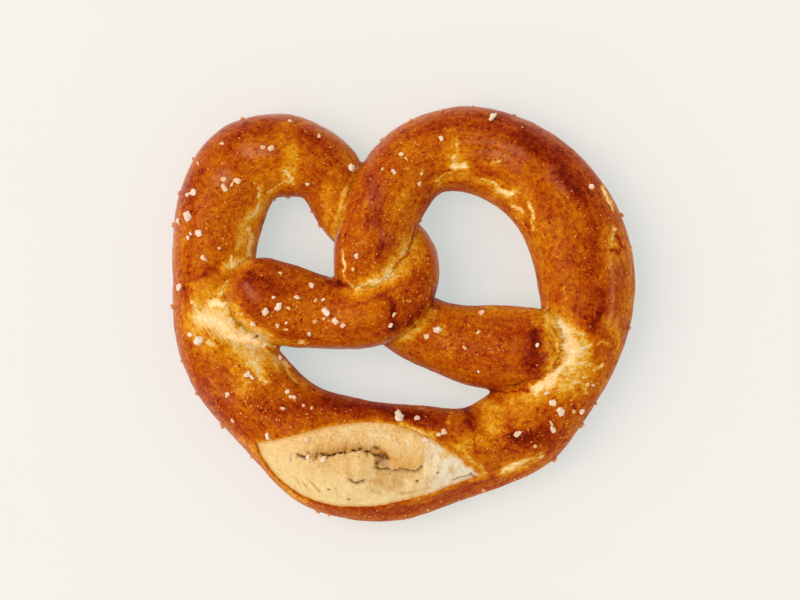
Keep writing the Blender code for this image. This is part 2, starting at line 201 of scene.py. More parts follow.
def near_path(points, path, half_width, crisp=2.0):
    """1 along a line of straight legs seen from above, fading to 0 past its half width."""
    best = np.full(len(points), 99.0)
    for first, second in zip(path, path[1:]):
        start = np.array(first)
        leg = np.array(second) - start
        share = np.clip((points[:, :2] - start) @ leg / (leg @ leg), 0.0, 1.0)
        best = np.minimum(best, np.linalg.norm(points[:, :2] - start - share[:, None] * leg, axis=1))
    return np.exp(-((best / half_width) ** crisp))


def near_spot(points, x, y, reach_x, reach_y, turn=0.0):
    """1 at the middle of a turned ellipse seen from above, fading to 0 past its reach."""
    angle = math.radians(turn)
    right = (points[:, 0] - x) * math.cos(angle) + (points[:, 1] - y) * math.sin(angle)
    ahead = (points[:, 1] - y) * math.cos(angle) - (points[:, 0] - x) * math.sin(angle)
    return np.exp(-((right / reach_x) ** 2 + (ahead / reach_y) ** 2))


# %% [markdown]
# ## The rope
#
# A pretzel's outline is its rope's route. The route is given as stations: where the middle of the
# rope is, and how wide and how tall it is there. A smooth curve through them gives hundreds of
# rings. One could draw a curve object with a bevel, but a bevel is as wide as it is tall, and this
# rope is flatter than it is wide. So a Geometry Nodes tree bends a flat grid round the rings: each
# column of the grid looks up its ring, and each row its angle.

# %% The rope's stations, from its left end round the knot, loop and belly to its right end
# Each is: x, y, height of the middle, half the width, half the height.
ROPE = (
    (-51.0, 6.8, 17.3, 13.4, 11.0),
    (-40.3, 2.6, 14.2, 14.7, 12.0),
    (-26.5, 0.2, 14.6, 12.8, 11.4),
    (-12.5, 0.5, 18.2, 12.3, 11.0),
    (-0.9, 7.0, 17.8, 11.6, 10.8),
    (2.2, 17.8, 13.0, 10.6, 10.5),
    (-6.2, 27.4, 9.0, 11.5, 10.0),
    (-19.0, 36.8, 8.6, 12.0, 10.2),
    (-26.9, 49.8, 9.2, 12.4, 11.2),
    (-40.1, 56.0, 10.2, 14.6, 12.6),
    (-54.5, 54.1, 10.3, 15.6, 12.8),
    (-63.5, 41.9, 10.4, 16.2, 13.0),
    (-67.3, 24.5, 10.4, 15.2, 13.0),
    (-67.9, 4.8, 10.4, 14.5, 12.8),
    (-63.9, -12.5, 10.4, 16.0, 12.8),
    (-52.3, -28.8, 11.2, 16.8, 13.6),
    (-43.4, -37.6, 11.9, 16.9, 14.3),
    (-31.0, -47.0, 12.8, 20.3, 15.6),
    (-13.7, -52.7, 13.6, 21.6, 16.8),
    (9.6, -51.6, 13.0, 19.1, 16.0),
    (26.1, -48.8, 11.6, 15.4, 14.2),
    (41.6, -40.6, 11.0, 16.4, 13.6),
    (56.4, -24.6, 11.0, 14.5, 13.6),
    (64.6, -5.5, 11.2, 15.7, 13.8),
    (65.0, 15.4, 11.4, 17.7, 14.2),
    (58.2, 35.4, 11.4, 17.3, 14.2),
    (45.0, 50.0, 11.0, 16.5, 13.6),
    (25.6, 58.3, 10.4, 15.6, 12.8),
    (7.1, 55.6, 10.6, 14.3, 12.4),
    (-4.1, 43.3, 14.0, 14.1, 12.0),
    (-9.4, 30.2, 19.0, 13.3, 11.6),
    (-12.4, 17.0, 18.0, 12.6, 11.2),
    (-7.0, 4.6, 10.0, 11.6, 10.4),
    (3.1, -3.8, 9.2, 12.4, 10.6),
    (16.6, -9.2, 10.0, 13.2, 11.4),
    (31.0, -12.0, 12.8, 15.0, 12.2),
    (45.2, -10.9, 17.0, 13.4, 11.0),
)
END_LENGTH = 0.95  # length of a rounded end, as a share of the rope's half width there
RINGS = 420
END_RINGS = RINGS // 30  # of which these close each end
SIDES = 48


# %% From stations to rings
def natural_spline(stations, count):
    """A smooth line through the stations, as count evenly spaced rows of the same numbers."""
    rows = np.array(stations, float)
    legs = np.linalg.norm(np.diff(rows[:, :3], axis=0), axis=1)
    knots = np.concatenate([[0.0], np.cumsum(legs)])
    last = len(knots) - 1
    matrix = np.eye(last + 1)
    right = np.zeros_like(rows)
    for i in range(1, last):
        matrix[i, i - 1 : i + 2] = legs[i - 1], 2.0 * (legs[i - 1] + legs[i]), legs[i]
        slope_after = (rows[i + 1] - rows[i]) / legs[i]
        slope_before = (rows[i] - rows[i - 1]) / legs[i - 1]
        right[i] = 6.0 * (slope_after - slope_before)
    bend = np.linalg.solve(matrix, right)
    at = np.linspace(0.0, knots[-1], count)
    leg = np.clip(np.searchsorted(knots, at) - 1, 0, last - 1)
    to_next = (knots[leg + 1] - at)[:, None]
    from_last = (at - knots[leg])[:, None]
    span = legs[leg][:, None]
    cubic = (bend[leg] * to_next**3 + bend[leg + 1] * from_last**3) / (6.0 * span)
    start = (rows[leg] / span - bend[leg] * span / 6.0) * to_next
    finish = (rows[leg + 1] / span - bend[leg + 1] * span / 6.0) * from_last
    return cubic + start + finish


def rounded_end(station, direction, count):
    """Rows that close one end of the rope like a thumb, from its last full ring to its tip."""
    length = station[3] * END_LENGTH
    rows = []
    for step in range(1, count + 1):
        angle = 0.5 * math.pi * step / count
        row = np.array(station)
        row[:3] += direction * length * math.sin(angle)
        row[3:5] *= math.cos(angle)
        rows.append(row)
    return rows


body = natural_spline(ROPE, RINGS + 1 - 2 * END_RINGS)
heading = np.gradient(body[:, :3], axis=0)
heading /= np.linalg.norm(heading, axis=1)[:, None]
rings = np.vstack([
    rounded_end(body[0], -heading[0], END_RINGS)[::-1],
    body,
    rounded_end(body[-1], heading[-1], END_RINGS),
])
ahead = np.vstack([[heading[0]] * END_RINGS, heading, [heading[-1]] * END_RINGS])
side = np.stack([-ahead[:, 1], ahead[:, 0], np.zeros(len(ahead))], axis=1)
side /= np.linalg.norm(side, axis=1)[:, None]
up = np.cross(ahead, side)
along_rope = np.concatenate([[0.0], np.cumsum(np.linalg.norm(np.diff(rings[:, :3], axis=0), axis=1))])
print("rope length in mm:", round(float(along_rope[-1])))

# %% The tree that draws a grid round the rings
tree, given, made = geometry_tree("draw_out_dough", {"Rings": "Int", "Sides": "Int"})


def at_ring(name, kind, ring):
    """What the route's point number ring holds under that name."""
    named = add_node(tree, "GeometryNodeInputNamedAttribute", name, setup={"data_type": kind})
    setup = {"data_type": kind, "domain": "POINT"}
    looked_up = add_node(tree, "GeometryNodeSampleIndex", given["Mesh"], result(named), ring, setup=setup)
    return result(looked_up)


rows_round = sums(tree, "ADD", given["Sides"], 1.0)
grid = add_node(tree, "GeometryNodeMeshGrid", 1.0, 1.0, given["Rings"], rows_round)
place = add_node(tree, "ShaderNodeSeparateXYZ", result(grid, "UV Map"))
last_ring = sums(tree, "SUBTRACT", given["Rings"], 1.0)
ring = sums(tree, "ROUND", sums(tree, "MULTIPLY", place.outputs["X"], last_ring))
angle = sums(tree, "MULTIPLY", place.outputs["Y"], math.tau)
width = sums(tree, "MULTIPLY", at_ring("half_width", "FLOAT", ring), sums(tree, "COSINE", angle))
height = sums(tree, "MULTIPLY", at_ring("half_height", "FLOAT", ring), sums(tree, "SINE", angle))
across = vector_sums(tree, "SCALE", at_ring("side", "FLOAT_VECTOR", ring), Scale=width)
upward = vector_sums(tree, "SCALE", at_ring("up", "FLOAT_VECTOR", ring), Scale=height)
offset = vector_sums(tree, "ADD", across, upward)
skin = vector_sums(tree, "ADD", at_ring("middle", "FLOAT_VECTOR", ring), offset)
drawn = add_node(tree, "GeometryNodeSetPosition", result(grid, "Mesh"), Position=skin)
closed = add_node(tree, "GeometryNodeMergeByDistance", result(drawn), Distance=0.01 * MM)
tree.links.new(result(closed), made["Mesh"])
print("nodes in the dough's tree:", len(tree.nodes))

# %% [markdown]
# ## One piece of bread
#
# Where two strands touch, the oven fuses them. A Boolean union would leave a knife-sharp seam
# there, and the seam of two risen strands is a soft crease. A voxel remesh fuses them and gives
# small even squares all over, which the fine shaping below needs. A few rounds of smoothing take
# away the voxel steps.

# %% Roll the rope, knot it and fuse it
VOXEL = 0.85
RELAX_SHARE, RELAX_ROUNDS = 0.5, 5

route = bpy.data.meshes.new("route")
route.from_pydata((rings[:, :3] * MM).tolist(), [], [])
rope = add_object("route", route)
store(rope, "middle", rings[:, :3] * MM)
store(rope, "half_width", rings[:, 3] * MM)
store(rope, "half_height", rings[:, 4] * MM)
store(rope, "side", side)
store(rope, "up", up)
rope = grow(rope, tree, "rolled_rope", {"Rings": len(rings), "Sides": SIDES})
report(rope)

fuse = rope.modifiers.new("fuse", "REMESH")
fuse.mode = "VOXEL"
fuse.voxel_size = VOXEL * MM
relax = rope.modifiers.new("relax", "SMOOTH")
relax.factor = RELAX_SHARE
relax.iterations = RELAX_ROUNDS
bread = applied(rope, "bread")
report(bread)

# %% [markdown]
# ## Where a point lies on the rope
#
# Skin stretches and wrinkles along the rope, and it stays pale in the crease between two strands.
# So each point learns three things from the nearest point of the rolled rope's skin: how far
# along the rope it is, how far beside and above the rope's middle, and how close the next strand
# comes. An angle round the rope would do as well, but it jumps from 360 to 0 somewhere, and the
# jump would show as a seam along the whole rope.

# %% Look up the nearest skin, and the nearest skin of another strand
NEXT_STRAND = 30.0  # skin this much further along the rope belongs to another strand
CREASE_REACH = 9.0
CREASE_SIDES = 16

points = read_points(bread)
turns = np.linspace(0.0, math.tau, SIDES, endpoint=False)
skin_offset = side[:, None] * (rings[:, 3, None] * np.cos(turns))[..., None]
skin_offset = skin_offset + up[:, None] * (rings[:, 4, None] * np.sin(turns))[..., None]
skin_points = rings[:, None, :3] + skin_offset


def tree_of(ring_step, side_step):
    """A search tree of the skin's points, with the ring and the side that each is from."""
    keys = [(r, s) for r in range(0, len(rings), ring_step) for s in range(0, SIDES, side_step)]
    search = KDTree(len(keys))
    for number, (r, s) in enumerate(keys):
        search.insert(skin_points[r, s], number)
    search.balance()
    return search, keys


search, keys = tree_of(1, 1)
nearest = np.array([keys[search.find(point)[1]] for point in points])
ring_of = nearest[:, 0]
from_ring = points - rings[ring_of, :3]
rope_place = np.stack([
    along_rope[ring_of] + (from_ring * ahead[ring_of]).sum(1),
    (from_ring * side[ring_of]).sum(1),
    (from_ring * up[ring_of]).sum(1),
], axis=1)

search, keys = tree_of(2, SIDES // CREASE_SIDES)
next_strand = np.full(len(points), CREASE_REACH)
for index, point in enumerate(points):
    here = rope_place[index, 0]
    for _, number, gap in search.find_range(point, CREASE_REACH):
        if gap < next_strand[index] and abs(along_rope[keys[number][0]] - here) > NEXT_STRAND:
            next_strand[index] = gap
print("points in a crease:", int((next_strand < 2.0).sum()))

# %% [markdown]
# ## Rise and rest
#
# The belly spreads outwards as its slash opens, and the whole pretzel sits flat on the tray. Both
# are done as on the measured model, with the same values, so that the two agree. The measured
# model is centred on its own box. Rather than copy that small shift, the bread finds it: both
# shapes have a centre of volume, and the bread is moved until the two are in one place.

# %% Lean the belly, settle on the tray, and make the dough's own swellings
TRAY_ROUNDING = 1.3
OFF_TRAY = (0.5, 6.0)  # between these heights the tray stops holding the dough flat
BELLY_LEAN = 0.30
BELLY_LEAN_FROM = (-58.0, -30.0)
BELLY_LEAN_TO = (20.0, 52.0)
BELLY_BELOW = (-32.0, -20.0)
UNEVENNESS = ((18.0, 0.55), (7.0, 0.22))  # size and height of the dough's own swellings


def lean_belly(points):
    belly = slice(len(rings) * 3 // 8, len(rings) * 5 // 8)
    gaps = points[:, None, :2] - rings[None, belly, :2]
    closest = (gaps**2).sum(2).argmin(1) + belly.start
    offset = ((points - rings[closest, :3]) * side[closest]).sum(1)
    outward = ease(0.0, 1.0, -offset / rings[closest, 3])
    along = ease(*BELLY_LEAN_FROM, points[:, 0]) * (1.0 - ease(*BELLY_LEAN_TO, points[:, 0]))
    low = 1.0 - ease(*BELLY_BELOW, points[:, 1])
    points[:, 2] *= 1.0 - BELLY_LEAN * outward * along * low
    return points


def settle_on_tray(points):
    share = np.clip((points[:, 2] + TRAY_ROUNDING) / (2.0 * TRAY_ROUNDING), 0.0, 1.0)
    points[:, 2] = np.where(share >= 1.0, points[:, 2], TRAY_ROUNDING * share * share)
    return points


points = settle_on_tray(lean_belly(points))
write_points(bread, points)
normals = read_normals(bread)
off_tray = ease(*OFF_TRAY, points[:, 2])
for size, height in UNEVENNESS:
    points += normals * (rumple(points, size) * height * off_tray)[:, None]
write_points(bread, points)
print("height of the risen bread in mm:", round(float(points[:, 2].max()), 1))

# %% [markdown]
# ## The slash
#
# The slash opens like a leaf: two tips, an upper lip on top of the belly and a lower lip on its
# outer side. Seen from above it is a straight line whose two sides have parted, each by its own
# curve. Every point gets its distance to the leaf's edge, counted positive inside.

# %% The leaf's outline and the distance to it
SPLIT_LEFT = (-52.1, -45.5)
SPLIT_RIGHT = (28.6, -58.0)
UPPER_LIP = (13.9, 1.50, 1.22, 1.0)  # widest opening, rise and fall, and reach of the torn teeth
LOWER_LIP = (18.6, 0.75, 1.22, 0.4)
TOOTH_SIZE = 2.0
LEAST_TEETH = 0.2  # share of that reach where the skin split rather than tore
TORN = (0.45, 0.75)  # along this stretch of the lips the split turns into a tear
LEFT_TIP, RIGHT_TIP = (0.0, 0.04), (1.0, 0.95)  # where the teeth fade out
OUTLINE_STEPS = 400
POINTS_AT_ONCE = 4000  # to spare memory
NEAR_SPLIT = (36.0, -30.0)  # only points left of and below this place are near the leaf
LIP_STEP, STEP_OVER = 0.9, (-0.3, 1.4)
FACE_BULGE, BULGE_OVER = 1.6, (1.0, 9.0)  # how high it is, and the depths that it rises over


def lip_curve(lip, share):
    opening, rise, fall, _ = lip
    peak = rise / (rise + fall)
    return opening * (share / peak) ** rise * ((1.0 - share) / (1.0 - peak)) ** fall


def frayed_lip(lip, share):
    """A lip's curve with small teeth, as the skin tore rather than split towards the right tip."""
    opening, _, _, tooth_reach = lip
    along = np.zeros((len(share), 3))
    along[:, 0] = share * split_length
    along[:, 1] = opening
    torn = LEAST_TEETH + (1.0 - LEAST_TEETH) * ease(*TORN, share)
    reach = tooth_reach * torn * ease(*LEFT_TIP, share) * ease(*RIGHT_TIP, share)
    return lip_curve(lip, share) + reach * rumple(along, TOOTH_SIZE, 17.0)


split_start = np.array(SPLIT_LEFT)
split_along = np.array(SPLIT_RIGHT) - split_start
split_length = np.linalg.norm(split_along)
split_along /= split_length
split_across = np.array([-split_along[1], split_along[0]])


def leaf_outline(count):
    share = np.linspace(0.0, 1.0, count)
    lips = []
    for lip, sign in ((UPPER_LIP, 1.0), (LOWER_LIP, -1.0)):
        apart = sign * frayed_lip(lip, share)
        middle = split_start + share[:, None] * split_length * split_along
        lips.append(middle + apart[:, None] * split_across)
    return np.vstack(lips)


def split_depth(points):
    """Distance inside the leaf, negative outside, and the nearest place on its edge."""
    outline = leaf_outline(OUTLINE_STEPS)
    flat = points[:, :2] - split_start
    u = np.clip(flat @ split_along / split_length, 0.0, 1.0)
    v = flat @ split_across
    inside = (v < frayed_lip(UPPER_LIP, u)) & (v > -frayed_lip(LOWER_LIP, u))
    near = np.where((points[:, 0] < NEAR_SPLIT[0]) & (points[:, 1] < NEAR_SPLIT[1]))[0]
    distance = np.full(len(points), 99.0)
    edge = points[:, :2].copy()
    for part in np.array_split(near, 1 + len(near) // POINTS_AT_ONCE):
        gaps = ((points[part, None, :2] - outline[None]) ** 2).sum(2)
        closest = gaps.argmin(1)
        distance[part] = np.sqrt(gaps[np.arange(len(part)), closest])
        edge[part] = outline[closest]
    return np.where(inside, distance, -distance), edge


# %% Find the shift from the rope's own frame to the measured model
def centre_of_volume(points, triangles):
    a, b, c = (points[triangles[:, i]] for i in range(3))
    volumes = (a * np.cross(b, c)).sum(1) / 6.0
    return ((a + b + c) / 4.0 * volumes[:, None]).sum(0) / volumes.sum(), volumes.sum()


def triangles_of(obj):
    obj.data.calc_loop_triangles()
    corners = np.zeros(len(obj.data.loop_triangles) * 3, int)
    obj.data.loop_triangles.foreach_get("vertices", corners)
    return corners.reshape(-1, 3)


normals = read_normals(bread)
depth, split_edge = split_depth(points)
facing_up = ease(0.05, 0.35, normals[:, 2])
opened = points.copy()
opened[:, 2] += (FACE_BULGE * ease(*BULGE_OVER, depth) - LIP_STEP * ease(*STEP_OVER, depth)) * facing_up
bread_triangles = triangles_of(bread)
own_centre, own_volume = centre_of_volume(opened, bread_triangles)
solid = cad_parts["pretzel"]
solid_centre, solid_volume = centre_of_volume(read_points(solid), triangles_of(solid))
into_frame = solid_centre - own_centre
into_frame[2] = 0.0
print("shift into the frame in mm:", into_frame.round(2))
print("volume in cubic cm:", round(own_volume / 1000, 1), "and measured:", round(solid_volume / 1000, 1))

# %% [markdown]
# ## The skin's relief
#
# Lye-dipped skin is smooth and tight, but not even. It sinks into the creases between strands,
# wrinkles along the rope where it was stretched, and cracks into rough pale flesh beside both
# ends, where the rising loops pulled away from them. The torn flesh bridges the crease there, so
# that crease is filled instead of sunk. Each of these is a small push along the skin's normal.
# Painting them with a bump map would be quicker, but a bump vanishes on the outline and in the
# model's mesh, so what is wider than a millimetre is real here.

# %% Furrows: a name, the points along it, its half width and its depth
FURROWS = (
    ("beside the left end", ((-71.0, 2.5), (-62.0, -7.5), (-50.0, -10.5)), 3.0, 1.6),
    ("beside the right end", ((57.0, -3.0), (58.5, -14.0), (52.0, -24.0)), 3.0, 1.4),
    ("scar on the left loop", ((-77.0, 13.5), (-70.0, 15.0), (-66.5, 15.0)), 1.6, 0.8),
    ("belly's corner", ((-44.3, -13.7), (-41.8, -19.5), (-36.8, -25.2)), 1.3, 0.7),
    ("belly's corner, second", ((-41.5, -13.5), (-39.5, -18.0), (-34.0, -24.0)), 1.1, 0.5),
    ("dent right of the belly", ((27.0, -33.0), (28.5, -39.0), (33.0, -45.0)), 2.4, 1.1),
    ("twist star", ((-5.4, 4.0), (-3.2, 0.4), (-2.4, -3.4)), 1.1, 0.55),
    ("twist star's branch", ((-8.6, 3.6), (-5.4, 4.6), (-3.2, 7.0)), 1.0, 0.4),
    ("twist star's lower branch", ((-3.0, -1.0), (1.0, -3.0)), 1.0, 0.35),
    ("first fold of the right tip", ((37.2, 2.0), (38.6, -6.0), (38.0, -18.0)), 1.2, 0.3),
    ("second fold of the right tip", ((41.2, 1.0), (42.6, -7.0), (42.0, -19.0)), 1.2, 0.45),
    ("torn blister", ((74.2, 31.5), (75.6, 27.0), (74.4, 23.8), (72.0, 24.6)), 1.0, 0.6),
    ("right loop's inner crack", ((28.2, 49.0), (33.5, 46.0), (39.0, 42.5)), 1.2, 0.45),
    ("right loop's lower crack", ((38.5, 40.5), (41.5, 36.0), (43.5, 32.0)), 1.1, 0.4),
    ("left loop's inner crack", ((-52.9, 40.5), (-49.3, 43.0), (-43.9, 45.2)), 1.1, 0.35),
    ("streak under the right loop", ((37.5, -58.4), (42.5, -55.2), (48.9, -53.0)), 1.3, 0.5),
)
CREASE_DEPTH, CREASE_WIDTH = 1.2, 1.1
SKIN = ((3.2, 0.10), (1.9, 0.05))  # size and height of the skin's own grain
WRINKLE_LENGTH, WRINKLE_WIDTH, WRINKLE_HEIGHT = 11.0, 1.9, 0.09

# %% Pale stretched flesh: a name, the half width, the strength and the points along it
STRETCHED = (
    ("flesh beside the left end", 3.9, 1, ((-70.8, -1.4), (-67.0, -2.6), (-63.4, -5.2))),
    ("its lower right", 2.4, 1, ((-63.4, -6.0), (-59.4, -7.8), (-55.4, -8.8), (-51.2, -9.8))),
    ("its upper shoulder", 1.8, 1, ((-67.6, 2.8), (-64.6, 3.4), (-62.4, 2.8))),
    ("its upper tip", 0.6, 0.9, ((-75.4, 3.6), (-73.4, 1.6), (-71.8, -0.2))),
    ("its tail under the arm", 0.6, 0.6, ((-53.9, -8.7), (-50.7, -9.8), (-48.2, -10.9))),
    ("flake at the arm's end", 0.6, 0.9, ((-62.2, 11.6), (-63.4, 8.4), (-64.8, 6.8))),
    ("flake above the arm's end", 0.9, 0.9, ((-61.0, 20.0), (-60.2, 16.8))),
    ("flake on the left rim", 0.6, 0.6, ((-75.0, 4.5), (-73.5, 2.7))),
    ("first string", 0.35, 0.5, ((-57.1, -13.4), (-55.7, -16.2), (-55.3, -18.7))),
    ("second string", 0.35, 0.7, (
        (-52.8, -12.7), (-52.1, -15.9), (-51.4, -19.1), (-51.0, -21.0))),
    ("its lower end", 0.55, 0.8, ((-51.2, -21.4), (-50.2, -22.8), (-48.6, -24.4))),
    ("line under the left arm", 0.4, 0.7, (
        (-50.3, -10.2), (-45.7, -10.9), (-40.3, -10.9), (-35.7, -10.5))),
    ("fold at the notch", 0.4, 0.75, (
        (-45.3, -14.1), (-42.8, -16.6), (-40.7, -20.5), (-37.8, -23.4), (-35.0, -25.5))),
    ("patch under the left rim's salt", 0.8, 0.5, ((-68.9, -10.2), (-67.1, -10.9))),
    ("line over the left loop's hole", 0.45, 0.7, ((-40.6, 46.6), (-44.4, 45.6), (-48.4, 43.4))),
    ("flake over the left loop's hole", 0.7, 0.9, ((-41.6, 50.2), (-40.2, 49.2), (-38.6, 46.4))),
    ("shelf in the left loop", 0.9, 0.7, ((-54.8, 30.4), (-54.0, 27.6), (-54.4, 24.1), (-54.0, 20.6))),
    ("strings in the left loop", 0.45, 0.7, (
        (-50.6, 44.6), (-51.4, 38.0), (-52.8, 35.2), (-55.2, 33.2))),
    ("crescent round the right tip", 1.6, 1, (
        (55.0, -3.6), (57.4, -6.2), (58.6, -9.2), (59.0, -12.8), (58.0, -16.4), (55.5, -19.9),
        (52.6, -22.5), (49.4, -24.6), (46.4, -26.0))),
    ("its thick middle", 2.7, 1, ((58.6, -10.4), (59.4, -13.4), (58.2, -17.0))),
    ("its broad lower end", 1.9, 1, ((53.4, -22.6), (50.8, -25.0))),
    ("its upper wedge", 0.5, 0.35, ((50.3, 0.2), (52.8, -1.0), (55.2, -2.8))),
    ("first finger", 0.8, 0.45, ((57.0, -5.4), (60.0, -6.0), (63.4, -7.0))),
    ("second finger", 0.6, 0.5, ((61.0, -12.0), (63.9, -11.4), (66.8, -10.8))),
    ("third finger", 0.6, 0.5, ((61.8, -14.8), (65.0, -14.1), (67.8, -14.1))),
    ("fourth finger", 0.5, 0.5, ((60.7, -17.0), (63.5, -17.7), (66.8, -18.0))),
    ("low finger", 0.5, 0.5, ((56.8, -20.9), (58.9, -22.7))),
    ("wavy line", 0.4, 0.5, ((59.3, -24.1), (61.8, -24.1), (63.5, -26.2), (64.6, -28.7))),
    ("second wavy line", 0.4, 0.5, ((62.5, -21.6), (64.6, -23.7), (66.8, -25.9))),
    ("flecks by the right rim", 0.6, 0.65, ((67.5, -20.5), (69.6, -19.1), (71.4, -18.0))),
    ("scribbles by the right rim", 0.4, 0.5, ((68.9, -12.0), (70.7, -10.5), (72.5, -10.9))),
    ("star on the right loop", 0.9, 1, ((17.8, 52.3), (19.6, 52.3), (21.4, 52.3))),
    ("its ray", 0.35, 0.55, ((18.6, 53.0), (18.6, 55.5), (19.3, 58.4))),
    ("its yellow streak", 0.6, 0.42, ((18.9, 58.4), (19.6, 62.7))),
    ("band beside the star", 0.5, 0.42, ((17.1, 50.5), (14.6, 48.4), (12.5, 46.6))),
    ("flake on the right loop", 0.6, 0.7, ((31.1, 54.4), (32.5, 54.4), (34.3, 53.7))),
    ("white patch in the right loop", 1.0, 1, ((33.6, 44.4), (36.1, 43.7), (38.9, 42.3))),
    ("line above it", 0.4, 0.75, ((27.8, 47.7), (30.3, 46.2), (32.8, 45.2))),
    ("lower patch in the right loop", 0.7, 0.75, ((38.6, 37.7), (40.7, 36.6), (42.5, 35.2))),
    ("line at the right loop's edge", 0.5, 0.85, ((43.9, 39.4), (45.7, 36.9), (46.4, 34.1))),
    ("its lower end", 0.5, 0.8, ((45.3, 33.7), (46.4, 30.2))),
    ("rim of the right loop", 0.7, 0.85, ((70.7, 44.1), (72.5, 41.9), (74.3, 39.1), (75.3, 36.9))),
    ("torn blister's mouth", 0.5, 0.9, ((75.0, 30.2), (75.3, 28.4))),
    ("torn blister", 0.7, 0.6, ((74.3, 27.0), (75.0, 24.1))),
    ("cream under the crossing", 0.55, 0.9, (
        (-17.1, 9.6), (-13.6, 10.2), (-10.0, 11.5), (-6.4, 13.4), (-2.9, 15.3))),
    ("cream on the strand's side", 0.35, 0.85, ((-21.8, 23.2), (-21.6, 18.4), (-21.1, 14.1))),
    ("its yellow foot", 0.4, 0.6, ((-21.1, 14.1), (-20.2, 11.6), (-18.2, 9.8))),
    ("streak under the right loop", 0.9, 0.85, ((36.4, -55.9), (40.0, -54.4), (43.2, -52.8))),
    ("its hook", 0.4, 0.6, ((44.6, -52.3), (48.6, -51.2), (49.3, -48.4))),
    ("split's right end", 0.6, 0.4, ((22.5, -49.4), (25.3, -53.4), (28.6, -57.3))),
    ("fleck on the belly's shoulder", 0.5, 0.6, ((16.4, -35.9), (16.4, -38.4))),
    ("spot above the belly", 0.7, 0.42, ((5.0, -34.1), (7.5, -34.5))),
    ("bump in the right loop", 0.5, 0.5, ((57.5, 6.6), (57.5, 5.5))),
    ("glazed flecks on the right arm", 0.5, 0.6, ((11.1, -6.6), (13.2, -5.9), (14.6, -4.8))),
)

# %% Creases that torn flesh bridges: a name, the half width, how high it stands, and the points
BRIDGED = (
    ("beside the right tip", 4.6, 3.4, (
        (53.5, -1.0), (57.0, -7.0), (57.4, -13.5), (55.4, -19.5), (51.0, -24.0))),
    ("beside the left end", 4.6, 2.4, (
        (-64.5, 4.0), (-63.8, -1.0), (-60.0, -5.5), (-53.0, -9.0), (-48.5, -11.0))),
    ("under the crossing", 2.6, 1.2, ((-17.1, 9.6), (-10.0, 11.5), (-2.9, 15.3), (1.0, 18.2))),
)
BRIDGE_WIDTH = 3.0
BRIDGE_GAP = 3.0  # a crease that is bridged looks as if it were this much farther away

